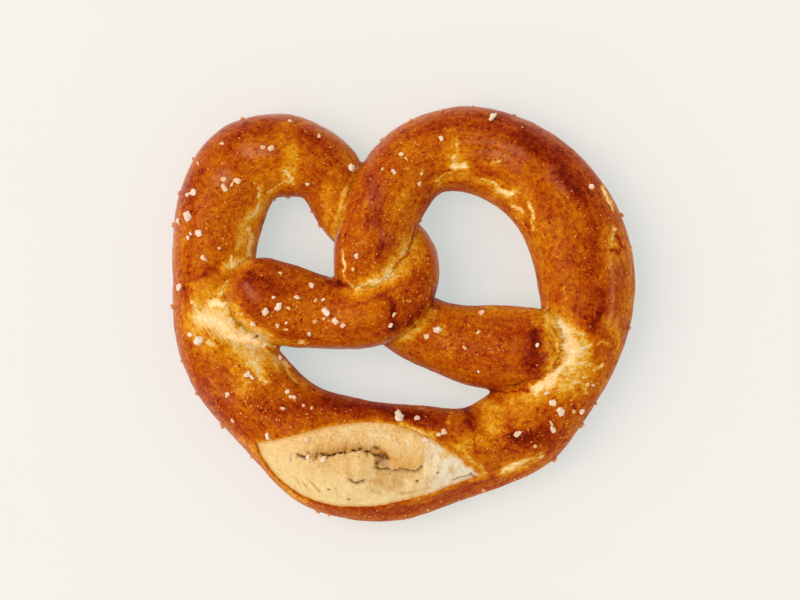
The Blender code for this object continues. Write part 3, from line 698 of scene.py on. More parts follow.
# %% Browning, and painted shade in some creases and corners: a name, the half width, how much darker, or lighter below zero, and the points
BROWNED_AND_SHADED = (
    ("gold round the left flesh", 5.0, -0.3, ((-71.0, 4.0), (-63.5, -4.1), (-52.8, -11.2))),
    ("gold outside the left flesh", 3.6, -0.21, (
        (-76.0, -5.0), (-70.0, -9.5), (-66.0, -13.5), (-61.5, -18.5), (-56.5, -24.5))),
    ("gold above the left flesh", 3.0, -0.22, ((-73.5, 11.0), (-65.0, 8.5))),
    ("gold below the left flesh", 3.2, -0.31, ((-58.2, -13.0), (-50.3, -20.2))),
    ("gold at the notch", 2.4, -0.36, ((-52.5, -12.0), (-47.5, -15.0), (-44.5, -17.5))),
    ("gold on the left arm's lower edge", 1.6, -0.26, ((-60.0, 2.0), (-55.3, -4.1), (-48.2, -8.0))),
    ("gold where the arm lies on the loop", 1.1, -0.14, ((-48.2, -8.5), (-42.0, -9.8), (-35.7, -10.2))),
    ("gold round the right flesh", 5.0, -0.3, (
        (52.5, -1.6), (61.4, -9.5), (62.6, -18.4), (56.4, -27.0))),
    ("gold under the right tip", 4.4, -0.26, ((40.0, -31.2), (47.1, -29.1))),
    ("gold on the right shoulder", 3.0, -0.25, ((30.6, -34.4), (29.8, -38.0), (32.6, -41.6))),
    ("gold right of the split", 2.4, -0.2, ((21.5, -46.5), (28.5, -44.2))),
    ("gold in the right loop", 1.8, -0.22, (
        (12.1, 46.8), (20.3, 49.0), (29.3, 46.6), (37.5, 41.4), (42.2, 34.6))),
    ("gold over the white patch", 2.0, -0.16, ((38.8, 44.6), (43.8, 41.8))),
    ("gold left of the star", 2.3, -0.15, ((18.5, 66.0), (17.2, 60.0), (13.6, 53.0))),
    ("gold round the star", 2.4, -0.28, ((18.6, 54.8), (21.5, 52.2))),
    ("gold round the flake", 1.6, -0.2, ((28.5, 52.6), (33.5, 51.4))),
    ("gold down the right loop's inside", 1.6, -0.09, (
        (48.9, 29.8), (51.4, 20.9), (52.5, 10.2), (50.7, 4.8))),
    ("gold bump in the right loop", 1.4, -0.14, ((57.7, 7.4), (57.7, 5.6))),
    ("gold round the torn blister", 2.5, -0.2, ((72.6, 29.5), (75.8, 24.5), (73.4, 19.0))),
    ("gold at the left loop's top", 3.0, -0.26, ((-40.4, 58.6), (-39.3, 53.8), (-40.3, 47.7))),
    ("gold on the left loop's crest", 2.7, -0.13, (
        (-51.8, 57.0), (-48.0, 53.5), (-45.0, 50.0), (-51.0, 46.0))),
    ("gold down the left loop's inside", 2.2, -0.3, (
        (-47.5, 42.3), (-53.9, 35.2), (-57.6, 30.8), (-57.8, 23.6))),
    ("pale edge of the left hole", 1.3, -0.2, ((-50.8, 37.0), (-51.6, 30.5), (-53.6, 24.5))),
    ("gold over the left arm's end", 2.1, -0.32, ((-62.6, 15.8), (-55.5, 18.2))),
    ("gold on the left loop's side", 2.4, -0.13, ((-70.0, 25.5), (-69.4, 17.5))),
    ("gold behind the strand", 2.0, -0.2, ((-27.0, 44.0), (-26.5, 36.0), (-26.8, 29.5))),
    ("gold edge behind the crossing", 1.2, -0.3, ((-20.3, 43.5), (-22.0, 37.0), (-24.3, 28.0))),
    ("gold under the crossing", 3.3, -0.36, (
        (-15.6, 8.6), (-12.0, 10.2), (-7.0, 14.0), (-3.0, 17.6), (1.0, 21.6), (3.2, 24.2))),
    ("gold beside the twist", 2.0, -0.34, ((-0.6, -9.4), (4.4, -6.4), (10.0, 1.4))),
    ("gold flecks on the right arm", 2.6, -0.14, ((12.5, -5.8), (15.8, -8.2), (17.0, -14.5))),
    ("gold round the right tip", 1.4, -0.3, ((50.7, -3.0), (54.3, -8.0), (55.0, -13.7), (52.8, -18.7))),
    ("gold on the right tip", 1.2, -0.18, ((50.6, -9.5), (52.0, -15.8))),
    ("gold by the streak", 1.8, -0.2, ((34.6, -57.3), (41.8, -54.4), (48.7, -50.4))),
    ("gold at the split's right end", 1.3, -0.2, ((17.5, -45.2), (23.2, -50.5), (28.2, -57.3))),
    ("rough skin at the right rim", 2.0, -0.22, ((73.2, -3.2), (75.8, -7.2), (77.0, -13.0))),
    ("gold below it", 1.6, -0.16, ((75.4, -16.0), (73.5, -20.4), (70.4, -25.6))),
    ("gold at the belly's left corner", 1.4, -0.2, ((-57.1, -45.2), (-52.5, -47.7))),
    ("gold on the lower lip's left", 1.7, -0.2, (
        (-52.0, -49.5), (-47.8, -56.0), (-40.7, -63.0), (-34.0, -66.5))),
    ("gold over the upper lip", 1.3, -0.28, ((0.0, -39.4), (5.0, -40.8), (11.0, -43.2))),
    ("gold on the right arm's top edge", 1.2, -0.12, ((30.0, 1.4), (42.0, 1.8))),
    ("dark top of the left loop", 2.9, 0.15, (
        (-63.5, 61.0), (-54.0, 65.5), (-46.0, 67.0))),
    ("dark shoulder of the left loop", 2.6, 0.19, ((-34.0, 64.0), (-29.0, 61.0), (-25.5, 58.0))),
    ("dark notch", 1.3, 0.14, ((-19.3, 50.5), (-20.4, 47.0))),
    ("dark side of the left loop", 2.3, 0.1, (
        (-70.8, 51.0), (-74.6, 46.0), (-75.6, 41.0), (-74.6, 36.0))),
    ("dark side below it", 1.7, 0.2, ((-77.0, 9.4), (-76.6, 4.5))),
    ("dark right loop", 4.7, 0.25, ((44.0, 63.4), (53.5, 58.2), (60.2, 49.0), (64.6, 42.6))),
    ("dark middle of the right loop", 2.4, 0.1, ((59.6, 27.0), (58.9, 20.0))),
    ("dark right loop, lower down", 3.4, 0.12, ((67.4, 32.0), (67.8, 20.0), (66.6, 14.0))),
    ("darkest right loop", 2.3, 0.2, ((55.6, 47.8), (58.6, 45.0), (60.6, 41.4))),
    ("dark top of the right loop", 3.2, 0.15, ((9.6, 67.3), (22.1, 69.8), (36.4, 68.6))),
    ("dark left top of it", 1.8, 0.12, ((1.6, 63.2), (8.2, 64.4))),
    ("dark inside of the right loop", 2.0, 0.05, ((24.6, 49.6), (33.0, 48.8))),
    ("light inner edge of it", 1.4, -0.03, (
        (12.0, 45.4), (18.0, 46.2), (27.0, 45.2), (35.0, 41.6), (42.0, 33.4), (47.0, 26.0))),
    ("dark right side", 2.6, 0.05, ((70.2, 36.0), (70.0, 30.0))),
    ("dark beside the right flesh", 3.0, 0.28, ((70.0, 7.0), (69.6, 2.0), (67.2, -4.0))),
    ("dark above the right flesh", 2.2, 0.1, ((59.6, 4.6), (62.0, 1.6))),
    ("dark band of the right tip", 2.9, 0.27, ((46.2, -8.0), (46.2, -13.0), (45.4, -21.6))),
    ("dark lower edge of the right arm", 2.0, 0.08, ((24.0, -22.5), (33.0, -25.6), (43.4, -25.0))),
    ("dark start of that edge", 1.6, 0.03, ((6.0, -16.6), (14.8, -19.4))),
    ("light start of the right arm", 2.0, -0.12, ((7.0, -11.5), (10.5, -14.5))),
    ("dark top of the right arm", 2.0, 0.08, ((17.0, -2.6), (30.0, -6.6), (36.0, -8.0))),
    # painted shade in the corner under the right tip
    ("dark corner under the right tip", 1.9, 0.1, ((29.6, -29.6), (34.6, -31.4))),
    ("dark upper belly", 2.9, 0.28, (
        (-27.8, -31.0), (-19.0, -33.4), (-13.6, -33.8), (-1.1, -35.4), (13.2, -38.0))),
    ("darkest upper belly", 1.8, 0.12, ((-8.2, -33.7), (6.1, -35.9))),
    ("dark dent", 1.5, 0.32, ((22.6, -33.3), (24.0, -39.4))),
    ("gold corner of the belly", 2.0, -0.16, ((25.0, -30.6), (29.0, -31.0))),
    ("dark end of the left arm", 5.2, 0.16, ((-54.4, 11.6), (-48.0, 12.6), (-43.6, 8.8))),
    ("dark top of that end", 2.0, 0.06, ((-52.5, 13.4), (-47.0, 12.0))),
    ("dark low end of it", 2.2, 0.14, ((-54.9, 4.0), (-51.5, -0.6))),
    ("dark lower side of the left arm", 1.7, 0.14, ((-45.0, -7.4), (-38.0, -8.0), (-33.0, -8.2))),
    ("dark lower side of the twist", 2.1, 0.09, ((-21.0, -8.2), (-12.0, -8.6), (-5.0, -7.0))),
    ("dark twist", 2.2, 0.26, ((-3.6, 1.6), (-3.2, -1.0), (-3.0, -5.0))),
    ("dark star on the twist", 1.0, 0.25, ((-9.2, 5.8), (-6.1, 6.8), (-3.6, 3.2), (-3.8, -0.8))),
    ("dark right side of the twist", 2.0, 0.34, ((12.6, 9.4), (10.0, 3.6), (6.6, -0.4), (2.0, -4.4))),
    # painted shade in the corner behind the strand
    ("dark corner behind the strand", 1.4, 0.26, ((-27.0, 10.4), (-22.2, 9.9))),
    ("dark strand", 2.9, 0.16, ((-12.0, 50.0), (-10.0, 35.2), (-6.4, 28.0), (-8.2, 20.9))),
    ("dark spot low on the strand", 1.4, 0.2, ((-7.9, 24.8), (-7.9, 23.0))),
    ("dark scar on the left loop", 1.2, 0.22, (
        (-75.4, 12.9), (-71.8, 13.8), (-69.0, 15.4), (-65.8, 15.0))),
    ("dark lower left", 3.2, 0.08, ((-67.1, -30.9), (-58.2, -38.0), (-51.1, -41.6))),
    ("dark outside of the lower left", 1.9, 0.07, ((-70.6, -24.0), (-68.6, -30.0), (-64.4, -34.0))),
    ("dark inside of the lower left", 3.0, 0.09, ((-52.2, -28.6), (-47.8, -36.4), (-33.6, -31.4))),
    ("dark by the lower right salt", 3.0, 0.1, ((48.9, -39.8), (56.0, -42.3))),
    ("dark above the streak", 3.2, 0.33, ((39.4, -43.0), (42.0, -43.8), (46.0, -45.2), (51.0, -42.6))),
    ("dark end of the streak", 1.6, 0.12, ((50.4, -50.6), (52.6, -48.0))),
    ("dark lower lip", 1.8, 0.09, ((-26.1, -69.4), (-8.2, -71.2), (9.6, -68.4), (23.9, -63.0))),
    ("gold on the loop's left crest", 2.0, -0.12, ((1.6, 59.0), (3.6, 57.4))),
    # the next five are painted shade: dark lines in the creases and round the right tip
    ("crease right of the strand", 0.55, 0.38, (
        (3.9, 30.2), (3.2, 24.8), (2.1, 21.6), (-0.4, 18.9), (-3.2, 16.9))),
    ("crease at the strand's foot", 0.55, 0.4, ((-22.6, 11.4), (-21.0, 9.6), (-18.6, 8.6))),
    ("crease left of the strand", 0.5, 0.15, (
        (-19.3, 42.3), (-21.8, 37.3), (-22.8, 32.7), (-23.9, 29.8))),
    ("crease under the right tip", 0.45, 0.34, (
        (30.4, -27.4), (37.0, -27.6), (44.2, -26.2), (47.6, -24.8))),
    ("line round the right tip", 0.45, 0.3, (
        (47.6, -24.8), (52.8, -21.2), (55.4, -17.3), (56.0, -12.2), (54.6, -7.0), (51.4, -2.6))),
    ("gold on the right rim", 1.5, -0.16, ((79.4, 24.0), (80.6, 10.0), (80.2, -1.0))),
    ("gold right of the crossing", 1.9, -0.2, ((-6.0, 11.0), (0.6, 15.0), (4.4, 18.6))),
    ("brown behind the strings", 1.8, 0.12, ((-64.4, -19.4), (-61.0, -21.2))),
    ("brown right of the strings", 1.6, 0.12, ((-49.4, -19.0), (-47.4, -21.6))),
    ("light lower left", 1.8, -0.12, ((-57.0, -26.6), (-53.4, -27.8))),
    ("light right of it", 1.8, -0.1, ((-42.4, -27.0), (-39.6, -28.4))),
    ("light low end of the crescent", 1.8, -0.16, ((57.6, -26.2), (60.6, -28.2))),
    ("light under the right tip", 1.4, -0.16, ((43.4, -28.2), (47.0, -27.6))),
    ("brown above the streak's left", 1.8, 0.12, ((35.6, -48.0), (38.8, -48.8))),
    ("brown inside of the right loop", 1.4, 0.1, ((43.2, 37.6), (45.4, 30.0))),
    ("brown by the right rim", 1.6, 0.12, ((72.6, 31.0), (73.2, 27.8))),
    ("dark edge of the torn blister", 0.6, 0.42, (
        (76.4, 27.7), (77.8, 24.5), (76.4, 22.0), (74.3, 22.3))),
)

# %% Egg-smooth places, glossier, with a milky sheen painted into their colour: a name, half width, strength and points
GLOSS_AND_SHEEN = (
    ("on the left loop's crest", 2.5, 0.8, ((-55.3, 58.4), (-48.2, 57.7))),
    ("lower on the left loop", 2.1, 0.6, ((-64.6, 48.4), (-61.0, 45.5))),
    ("on the right loop's crest", 2.9, 0.9, ((21.1, 60.2), (31.1, 59.4), (41.8, 55.5))),
    ("on the strand", 2.5, 0.5, ((-8.9, 45.9), (-11.1, 38.7))),
    ("low on the strand", 2.1, 0.5, ((-10.0, 31.6), (-6.4, 26.2))),
    ("on the right rim", 1.8, 1, ((74.0, 19.4), (75.0, 12.0), (75.6, 4.0), (74.6, -3.6))),
    ("on the right loop", 2.1, 0.5, ((52.5, 49.4), (56.8, 44.1))),
    ("on the lower left", 2.5, 0.5, ((-68.9, -25.5), (-63.5, -30.9))),
    ("on the right tip", 1.5, 0.8, ((49.4, -11.5), (50.4, -15.5))),
    ("on the left arm's end", 1.8, 0.6, ((-54.6, 10.2), (-51.8, 4.8))),
    ("at the lower right rim", 1.8, 0.6, ((76.8, -2.3), (78.2, -9.5))),
)
BLUR_EDGES = 1.6  # how far noise pushes the edges of all these patches
BLURS = ((6.0, 1.0, 3.0), (2.4, 0.55, 8.0))  # size of that noise, its share of the push, its seed

# %% Mix the patches into how stretched and how brown each point is
def pushed_about(points):
    """The points with their places disturbed, so that a patch gets a ragged edge."""
    pushed = points.copy()
    for size, share, seed in BLURS:
        reach = share * BLUR_EDGES
        pushed[:, 0] += rumple(points, size, seed) * reach
        pushed[:, 1] += rumple(points, size, seed + 20.0) * reach
    return pushed


LEFT_FIBRES, RIGHT_FIBRES = -52.0, 4.0  # which way the torn fibres run from above, in degrees
FIBRE_STRETCH = 5.0
FINEST_LINE = 0.45
SKIRT_REACH, SKIRT_SPREAD, SKIRT_STRENGTH = 0.9, 2.0, 0.23  # flesh fades out in flecks
TOP_SIDE = (-0.15, 0.3)  # between these slopes the skin starts to count as seen from above
IN_CREASE_WHOLE = (0.8, 0.6)  # how much less torn the skin is in a crease, and how near it
END_KEPT_WHOLE = 30.0  # the ends lie on top, so it is the loop under them that tore
END_TORN = 0.3  # how much of the tearing is left on them
BASE_BROWN = 0.57
TOP_BROWN = 0.05  # the skin that faces up browned more
LOW_GOLD, LOW_DOWN = 0.08, (14.0, 3.0)  # and low on the sides it browned less
GOLDEN = 0.25  # skin that isn't torn stays at least this brown
# painted shade: how dark a line is painted where one strand meets the next, and how far it reaches
CREASE_SHADE, CREASE_SHADE_WIDTH = 0.40, 0.7
CREASE_GOLD, CREASE_SIDE = 0.08, 3.5
TORN_GOLD = 0.40
UNDER_SIDE = (2.0, 0.2)  # between these heights the skin turns into the under side
FACING_DOWN = (-0.4, -0.8)
UNDERSIDE_BROWN = 0.52
MOTTLE = ((16.0, 0.06), (6.5, 0.07), (2.6, 0.05))  # size and depth of the oven's own patches
MOTTLE_SEED = 31.0
DRAWN_OUT = (2.6, 1.0, 1.0)  # those patches are longer along the rope
MORE_MOTTLE, MORE_FROM = 0.5, (-28.0, -8.0)  # and deeper right of the left arm, past these x


def tones(points, normals, crease):
    """How stretched, how brown with painted shade in the creases, how much under side and how glazed each
    point is.
    """
    pushed = pushed_about(points)
    top = ease(*TOP_SIDE, normals[:, 2])
    stretched = np.zeros(len(points))
    for _, half_width, strength, path in STRETCHED:
        core = near_path(pushed, path, max(half_width, FINEST_LINE), 2.1)
        skirt = SKIRT_STRENGTH * near_path(points, path, SKIRT_REACH + SKIRT_SPREAD * half_width)
        stretched = np.maximum(stretched, strength * np.maximum(core, skirt))
    stretched *= top * (1.0 - IN_CREASE_WHOLE[0] * beside(crease, IN_CREASE_WHOLE[1]))
    from_end = np.minimum(rope_place[:, 0], along_rope[-1] - rope_place[:, 0])
    stretched *= np.where(from_end < END_KEPT_WHOLE, END_TORN, 1.0)
    brown = BASE_BROWN + TOP_BROWN * normals[:, 2] - LOW_GOLD * ease(*LOW_DOWN, points[:, 2])
    for _, half_width, darker, path in BROWNED_AND_SHADED:
        brown += darker * near_path(pushed, path, half_width) * top
    brown = np.maximum(brown, GOLDEN)
    uneven = 1.0 + MORE_MOTTLE * ease(*MORE_FROM, points[:, 0])
    for size, mottle_depth in MOTTLE:
        brown += rumple(rope_place / np.array(DRAWN_OUT), size, MOTTLE_SEED) * mottle_depth * uneven
    # painted shade darkens the crease itself; beside it the skin stays golden, as the oven reached it
    # less
    brown += CREASE_SHADE * beside(crease, CREASE_SHADE_WIDTH) - CREASE_GOLD * beside(crease, CREASE_SIDE)
    brown -= TORN_GOLD * ease(0.0, 0.7, stretched)
    under = ease(*UNDER_SIDE, points[:, 2]) * ease(*FACING_DOWN, normals[:, 2])
    brown = brown * (1.0 - under) + (UNDERSIDE_BROWN + 0.5 * (brown - BASE_BROWN)) * under
    glazed = np.zeros(len(points))
    for _, half_width, strength, path in GLOSS_AND_SHEEN:
        glazed = np.maximum(glazed, strength * near_path(pushed, path, half_width))
    return stretched, brown, under, glazed


def fibre_place(points):
    """Places for a noise that is drawn out along the fibres of each stretched spot, in mm."""
    placed = np.zeros((len(points), 3))
    beside_left_end = points[:, 0] < 0.0
    for chosen, angle in ((beside_left_end, LEFT_FIBRES), (~beside_left_end, RIGHT_FIBRES)):
        turned = math.radians(angle)
        x, y = points[chosen, 0], points[chosen, 1]
        placed[chosen, 0] = (x * math.cos(turned) + y * math.sin(turned)) / FIBRE_STRETCH
        placed[chosen, 1] = y * math.cos(turned) - x * math.sin(turned)
        placed[chosen, 2] = points[chosen, 2]
    return placed


# %% Tone the skin, with the bridged creases counted as shallow ones
normals = read_normals(bread)
depth, split_edge = split_depth(points)
facing_up = ease(0.0, 0.4, normals[:, 2])
bridge = np.zeros(len(points))
open_crease = next_strand.copy()
for _, half_width, height, path in BRIDGED:
    near = near_path(points, path, half_width)
    bridge = np.maximum(bridge, height * near)
    open_crease += BRIDGE_GAP * near
stretched, brown, under, glazed = tones(points, normals, open_crease)
print("share of the skin that is torn:", round(float((stretched > 0.5).mean()), 3))

# %% Sink, wrinkle and flake the skin
WRINKLED = (-0.1, 0.35)  # between these heights of a wide noise the wrinkles come in
FLAKES = ((2.2, 0.7, 9.0), (1.3, 0.35, 14.0))  # size, height and seed of the torn flakes
FLAKE_DEPTH, FLAKES_FROM = 0.8, (0.25, 0.9)

away_from_split = ease(0.5, -1.0, depth)
lift = np.zeros(len(points))
for _, path, half_width, furrow_depth in FURROWS:
    lift -= furrow_depth * near_path(points, path, half_width) * facing_up
lift -= CREASE_DEPTH * beside(open_crease, CREASE_WIDTH)
for size, height in SKIN:
    lift += rumple(points, size, 5.0) * height * off_tray
long_places = rope_place / np.array([WRINKLE_LENGTH, WRINKLE_WIDTH, WRINKLE_WIDTH])
wrinkled = ease(*WRINKLED, rumple(points, 20.0, 12.0))
lift += rumple(long_places, 1.0, 2.0) * WRINKLE_HEIGHT * wrinkled * off_tray
flakes = sum(np.abs(rumple(points, size, seed)) * height for size, height, seed in FLAKES)
lift -= (0.25 + flakes) * FLAKE_DEPTH * ease(*FLAKES_FROM, stretched)
crust_points = points + normals * (lift * away_from_split)[:, None]
crust_points[:, 2] += bridge * beside(next_strand, BRIDGE_WIDTH) * facing_up
print("deepest place in the skin in mm:", round(float(lift.min()), 2))

# %% Open the skin along the slash
LIP_REACH = 0.55  # points this near the leaf's edge are drawn onto it
LIP_CURL, CURL_PLACE, CURL_WIDTH = 0.30, 0.7, 0.9  # the lip's height, and where it is outside the edge
CAVITY, CAVITY_OVER = 3.9, (0.0, 1.3)  # the skin drops away under the crumb

on_top = ease(-0.02, 0.12, normals[:, 2])
inside = ease(*CAVITY_OVER, depth) * on_top
crust_points -= normals * (inside * CAVITY)[:, None]
curl = beside(depth + CURL_PLACE, CURL_WIDTH) * on_top
crust_points += normals * (curl * LIP_CURL)[:, None]
draw_on = (np.abs(depth) < LIP_REACH) & (normals[:, 2] > 0.3)
slide = split_edge[draw_on] - points[draw_on, :2]
crust_points[draw_on, :2] += slide
crust_points[draw_on, 2] -= (normals[draw_on, :2] * slide).sum(1) / normals[draw_on, 2]
print("points drawn onto the leaf's edge:", int(draw_on.sum()))

# %% Keep what the crust's finish reads
GOLD_LIP, DARK_LIP = 0.30, 0.06  # the lips' thin edge: how much lighter it is, or darker on the left
GOLD_LIP_FROM = (-6.0, 10.0)  # where the lower lip turns from one to the other
OUTER_SIDE, STEEP_SIDE = (0.1, 0.5), (0.80, 0.42)
LAMP_SIDE = 0.4  # the sides towards the upper left mirror the lamp most

upper_lip = (points[:, :2] - split_start) @ split_across > 0.0
gold_lip = np.where(upper_lip, GOLD_LIP, GOLD_LIP * ease(*GOLD_LIP_FROM, points[:, 0]) - DARK_LIP)
brown -= gold_lip * beside(depth + 0.1, 0.5) * on_top
crust = add_object("crust", bread.data.copy())
write_points(crust, crust_points + into_frame)
store(crust, "brown", np.clip(brown, 0.0, 1.2))
store(crust, "stretched", np.clip(stretched, 0.0, 1.0))
store(crust, "under", under)
# the glazed places get more gloss, and a painted sheen in the crust's finish
store(crust, "glazed", glazed)
outward = points[:, :2] / np.linalg.norm(points[:, :2], axis=1)[:, None]
outer_side = ease(*OUTER_SIDE, (outward * normals[:, :2]).sum(1))
outer_side *= np.clip(0.5 - LAMP_SIDE * outward[:, 0] + LAMP_SIDE * outward[:, 1], 0.1, 1.0)
store(crust, "steep", ease(*STEEP_SIDE, normals[:, 2]) * outer_side)
store(crust, "rope_place", rope_place * MM)
store(crust, "fibre_place", fibre_place(points) * MM)
crust.data.shade_smooth()
report(crust)

# %% [markdown]
# ## The pale crumb
#
# The slash shows the inside: soft, matte, torn here and there. It is its own piece, because its
# detail is finer than the crust's. The part of the bread inside the leaf, and a little of what
# lies under its lips, is copied, its squares are divided into sixteen, and it is pressed into
# shape: a long tear, a wide bowl with a hollow in it, a flap of crumb that hangs over the hollow,
# a ledge and a valley below, faint folds to the right, and small pores. A skirt pulled down from
# its edge and a flat face underneath close it.

# %% Places and sizes in the crumb
TUCK = 2.0  # how far the crumb reaches under the crust's lips
CRUMB_THICKNESS = 2.0
CRUMB_SINK = 0.3
TEAR = ((-39.5, -49.7), (-33.6, -50.4), (-30.7, -50.4), (-28.6, -49.8), (-26.1, -50.2), (-24.3, -49.4),
        (-20.7, -48.9), (-16.8, -48.2), (-15.4, -47.7), (-13.2, -48.4), (-10.7, -49.2), (-8.6, -49.6))
TEAR_DEPTH = 1.6
BOWL = (-4.6, -54.0, 13.0, 9.2, 4.0)  # the wide sunken place: x, y, reach along and across, turn
BOWL_DEPTH = 1.5
FLAP_EDGE = ((-9.5, -54.2), (-8.2, -54.8), (-3.9, -55.0), (-1.1, -54.6), (2.5, -55.2), (4.6, -55.3),
             (5.7, -54.4), (6.4, -53.4))
FLAP_ENDS = (-10.4, -8.4, 7.6, 6.0)  # in x: where it starts, is whole, ends, and is whole again
FLAP_HEIGHT, FLAP_REACH = 0.9, 7.5  # the flap of crumb that hangs over the hollow
UNDER_FLAP, UNDER_REACH = 1.6, 2.4
HOLLOW = (-6.9, -51.0, 2.6, 3.5, 8.0)
HOLLOW_DEPTH = 2.0
GREY_PATCH = (-5.7, -53.2, 2.9, 1.3, -38.0)  # crumb seen deep in the hollow
PAD = (-14.6, -54.0, 5.0, 4.3)  # the swelling left of the hollow
UNDER_PAD = (-13.0, -56.0, 4.4, 3.4)
ABOVE_FLAP = (1.0, -48.4, 6.4, 2.8)
HOLLOW_RIM = ((-9.8, -47.2), (-7.9, -47.4), (-7.5, -49.1), (-8.6, -50.2), (-9.3, -51.9), (-9.4, -54.0))
LEDGE = ((-18.2, -58.4), (-17.3, -59.1), (-16.1, -59.4), (-13.9, -58.9), (-11.4, -59.4), (-8.2, -59.6))
VALLEY = (-3.2, -60.4, 9.0, 4.2, -8.0)  # the hollow place below the flap, painted tan as shade
BELOW_TEAR = ((-31.0, -53.6), (-20.0, -54.4))
PAD_SIDE = ((-19.8, -51.0), (-18.8, -58.0))
FLAP_FOLD = ((-6.4, -49.6), (-4.6, -50.8), (-2.4, -51.2))
VALLEY_EDGE = ((-12.5, -61.6), (-9.4, -63.2), (-6.1, -64.3), (-2.0, -64.4), (3.1, -64.2), (9.6, -61.9))
RIDGE = ((3.9, -43.0), (7.4, -46.6), (8.6, -51.0), (8.2, -55.4), (6.4, -58.2), (1.0, -60.4))
FOLD_MIDDLE, FOLD_OVAL, FOLD_WIDTH = (-0.8, -51.6), 1.35, 1.1
FOLDS = ((13.2, 0.26), (16.4, 0.20), (20.4, 0.16))  # distance from the folds' middle, and height
STRANDS = ((-38.0, -60.0), (-35.7, -61.0), (-34.2, -60.0), (-32.7, -60.6), (-31.2, -62.4))
STRAND_REACH = (2.2, 0.4, -56.0)  # length, width and turn of a torn strand
CRACK = ((17.9, -59.2), (20.4, -58.6), (22.1, -58.0), (24.4, -57.4), (26.4, -58.6))
OPEN_PORES = ((12.0, -55.6), (5.0, -59.1), (-26.1, -62.0), (-19.3, -65.9), (-8.2, -52.0))
GOLD_EDGE = ((-1.6, -39.8), (3.2, -41.2), (8.2, -43.8))  # where the upper lip browned
PORES, PORE_SEED, PORE_REACH = 60, 11, (0.25, 0.6)
RAGGED = ((3.0, 0.5), (1.3, 0.5))  # size and reach of the noise that makes these forms ragged
SPONGE = ((7.0, 0.42), (3.0, 0.28), (1.4, 0.18), (0.8, 0.10))  # size and height of the crumb's grain
DARKEN = 1.35  # how strongly the deep places are painted dark as shade, beyond what their depth alone makes them

# %% Cut the patch out of the bread and make it finer
patch = bmesh.new()
patch.from_mesh(bread.data)
patch.verts.ensure_lookup_table()
wanted = (depth > -TUCK) & (normals[:, 2] > -0.05) & (points[:, 2] > 6.0)
bmesh.ops.delete(patch, geom=[patch.verts[i] for i in np.where(~wanted)[0]], context="VERTS")
mesh = bpy.data.meshes.new("crumb")
patch.to_mesh(mesh)
patch.free()
crumb = add_object("crumb", mesh)
finer = crumb.modifiers.new("finer", "SUBSURF")
finer.levels = finer.render_levels = 2
crumb = applied(crumb, "crumb")

crumb_points = read_points(crumb)
crumb_normals = read_normals(crumb)
crumb_depth, _ = split_depth(crumb_points)
report(crumb)


# %% How the tear and the flap run
def line_at(points, path):
    """The height in y of a path that runs left to right, at each point's x."""
    return np.interp(points[:, 0], [place[0] for place in path], [place[1] for place in path])


def tear_valley(points):
    """The upper face slopes down to the tear, and the lower one stands up steeply from it."""
    above = points[:, 1] - line_at(points, TEAR)
    slope = np.where(above > 0.0, beside(above, 3.2), beside(above, 0.6))
    return slope * ease(-42.0, -26.0, points[:, 0]) * ease(-6.0, -9.5, points[:, 0])


def tear_dark(points):
    """Where the tear's bottom is, sunk a little and painted dark as shade, broken up along its length."""
    gaps = ease(-0.45, 0.15, rumple(points, 1.5, 6.0))
    specks = ease(0.1, 0.5, rumple(points, 0.9, 27.0)) * near_path(points, TEAR, 1.2)
    broken = np.maximum(near_path(points, TEAR, 0.45) * gaps, 0.7 * specks)
    return broken * ease(-42.0, -34.0, points[:, 0])


def beside_flap(points):
    """Distance above the flap's lower edge, and 1 along the flap, fading at its ends."""
    above = points[:, 1] - line_at(points, FLAP_EDGE)
    left_end, left_full, right_end, right_full = FLAP_ENDS
    return above, ease(left_end, left_full, points[:, 0]) * ease(right_end, right_full, points[:, 0])


# %% Where each form of the face is: 1 in its middle, fading to 0
ragged = crumb_points.copy()
for size, reach in RAGGED:
    ragged[:, 0] += rumple(crumb_points, size, 60.0) * reach
    ragged[:, 1] += rumple(crumb_points, size, 70.0) * reach
valley = tear_valley(ragged)
dark = tear_dark(ragged)
above_flap, along_flap = beside_flap(ragged)
flap = along_flap * ease(-0.35, 0.45, above_flap) * ease(FLAP_REACH, 0.5, above_flap)
flap *= ease(-5.6, -2.8, ragged[:, 0])
under_flap = along_flap * np.where(above_flap < 0.0, np.exp(above_flap / UNDER_REACH), 0.0)
hollow = near_spot(ragged, *HOLLOW) ** 0.8
bowl = ease(0.15, 0.75, near_spot(ragged, *BOWL))
ledge = near_path(ragged, LEDGE, 0.8)
valley_edge = near_path(ragged, VALLEY_EDGE, 0.7) * ease(-0.4, 0.2, rumple(crumb_points, 4.0, 80.0))
rim = near_path(ragged, HOLLOW_RIM, 0.6)
shaded_valley = near_spot(ragged, *VALLEY)
strands = np.zeros(len(crumb_points))
for x, y in STRANDS:
    strands += near_spot(crumb_points, x, y, *STRAND_REACH)
    strands -= 0.9 * near_spot(crumb_points, x + 0.9, y + 0.3, *STRAND_REACH)
crack = near_path(ragged, CRACK, 0.45)
print("share of the crumb that is sunk:", round(float((bowl > 0.5).mean()), 3))

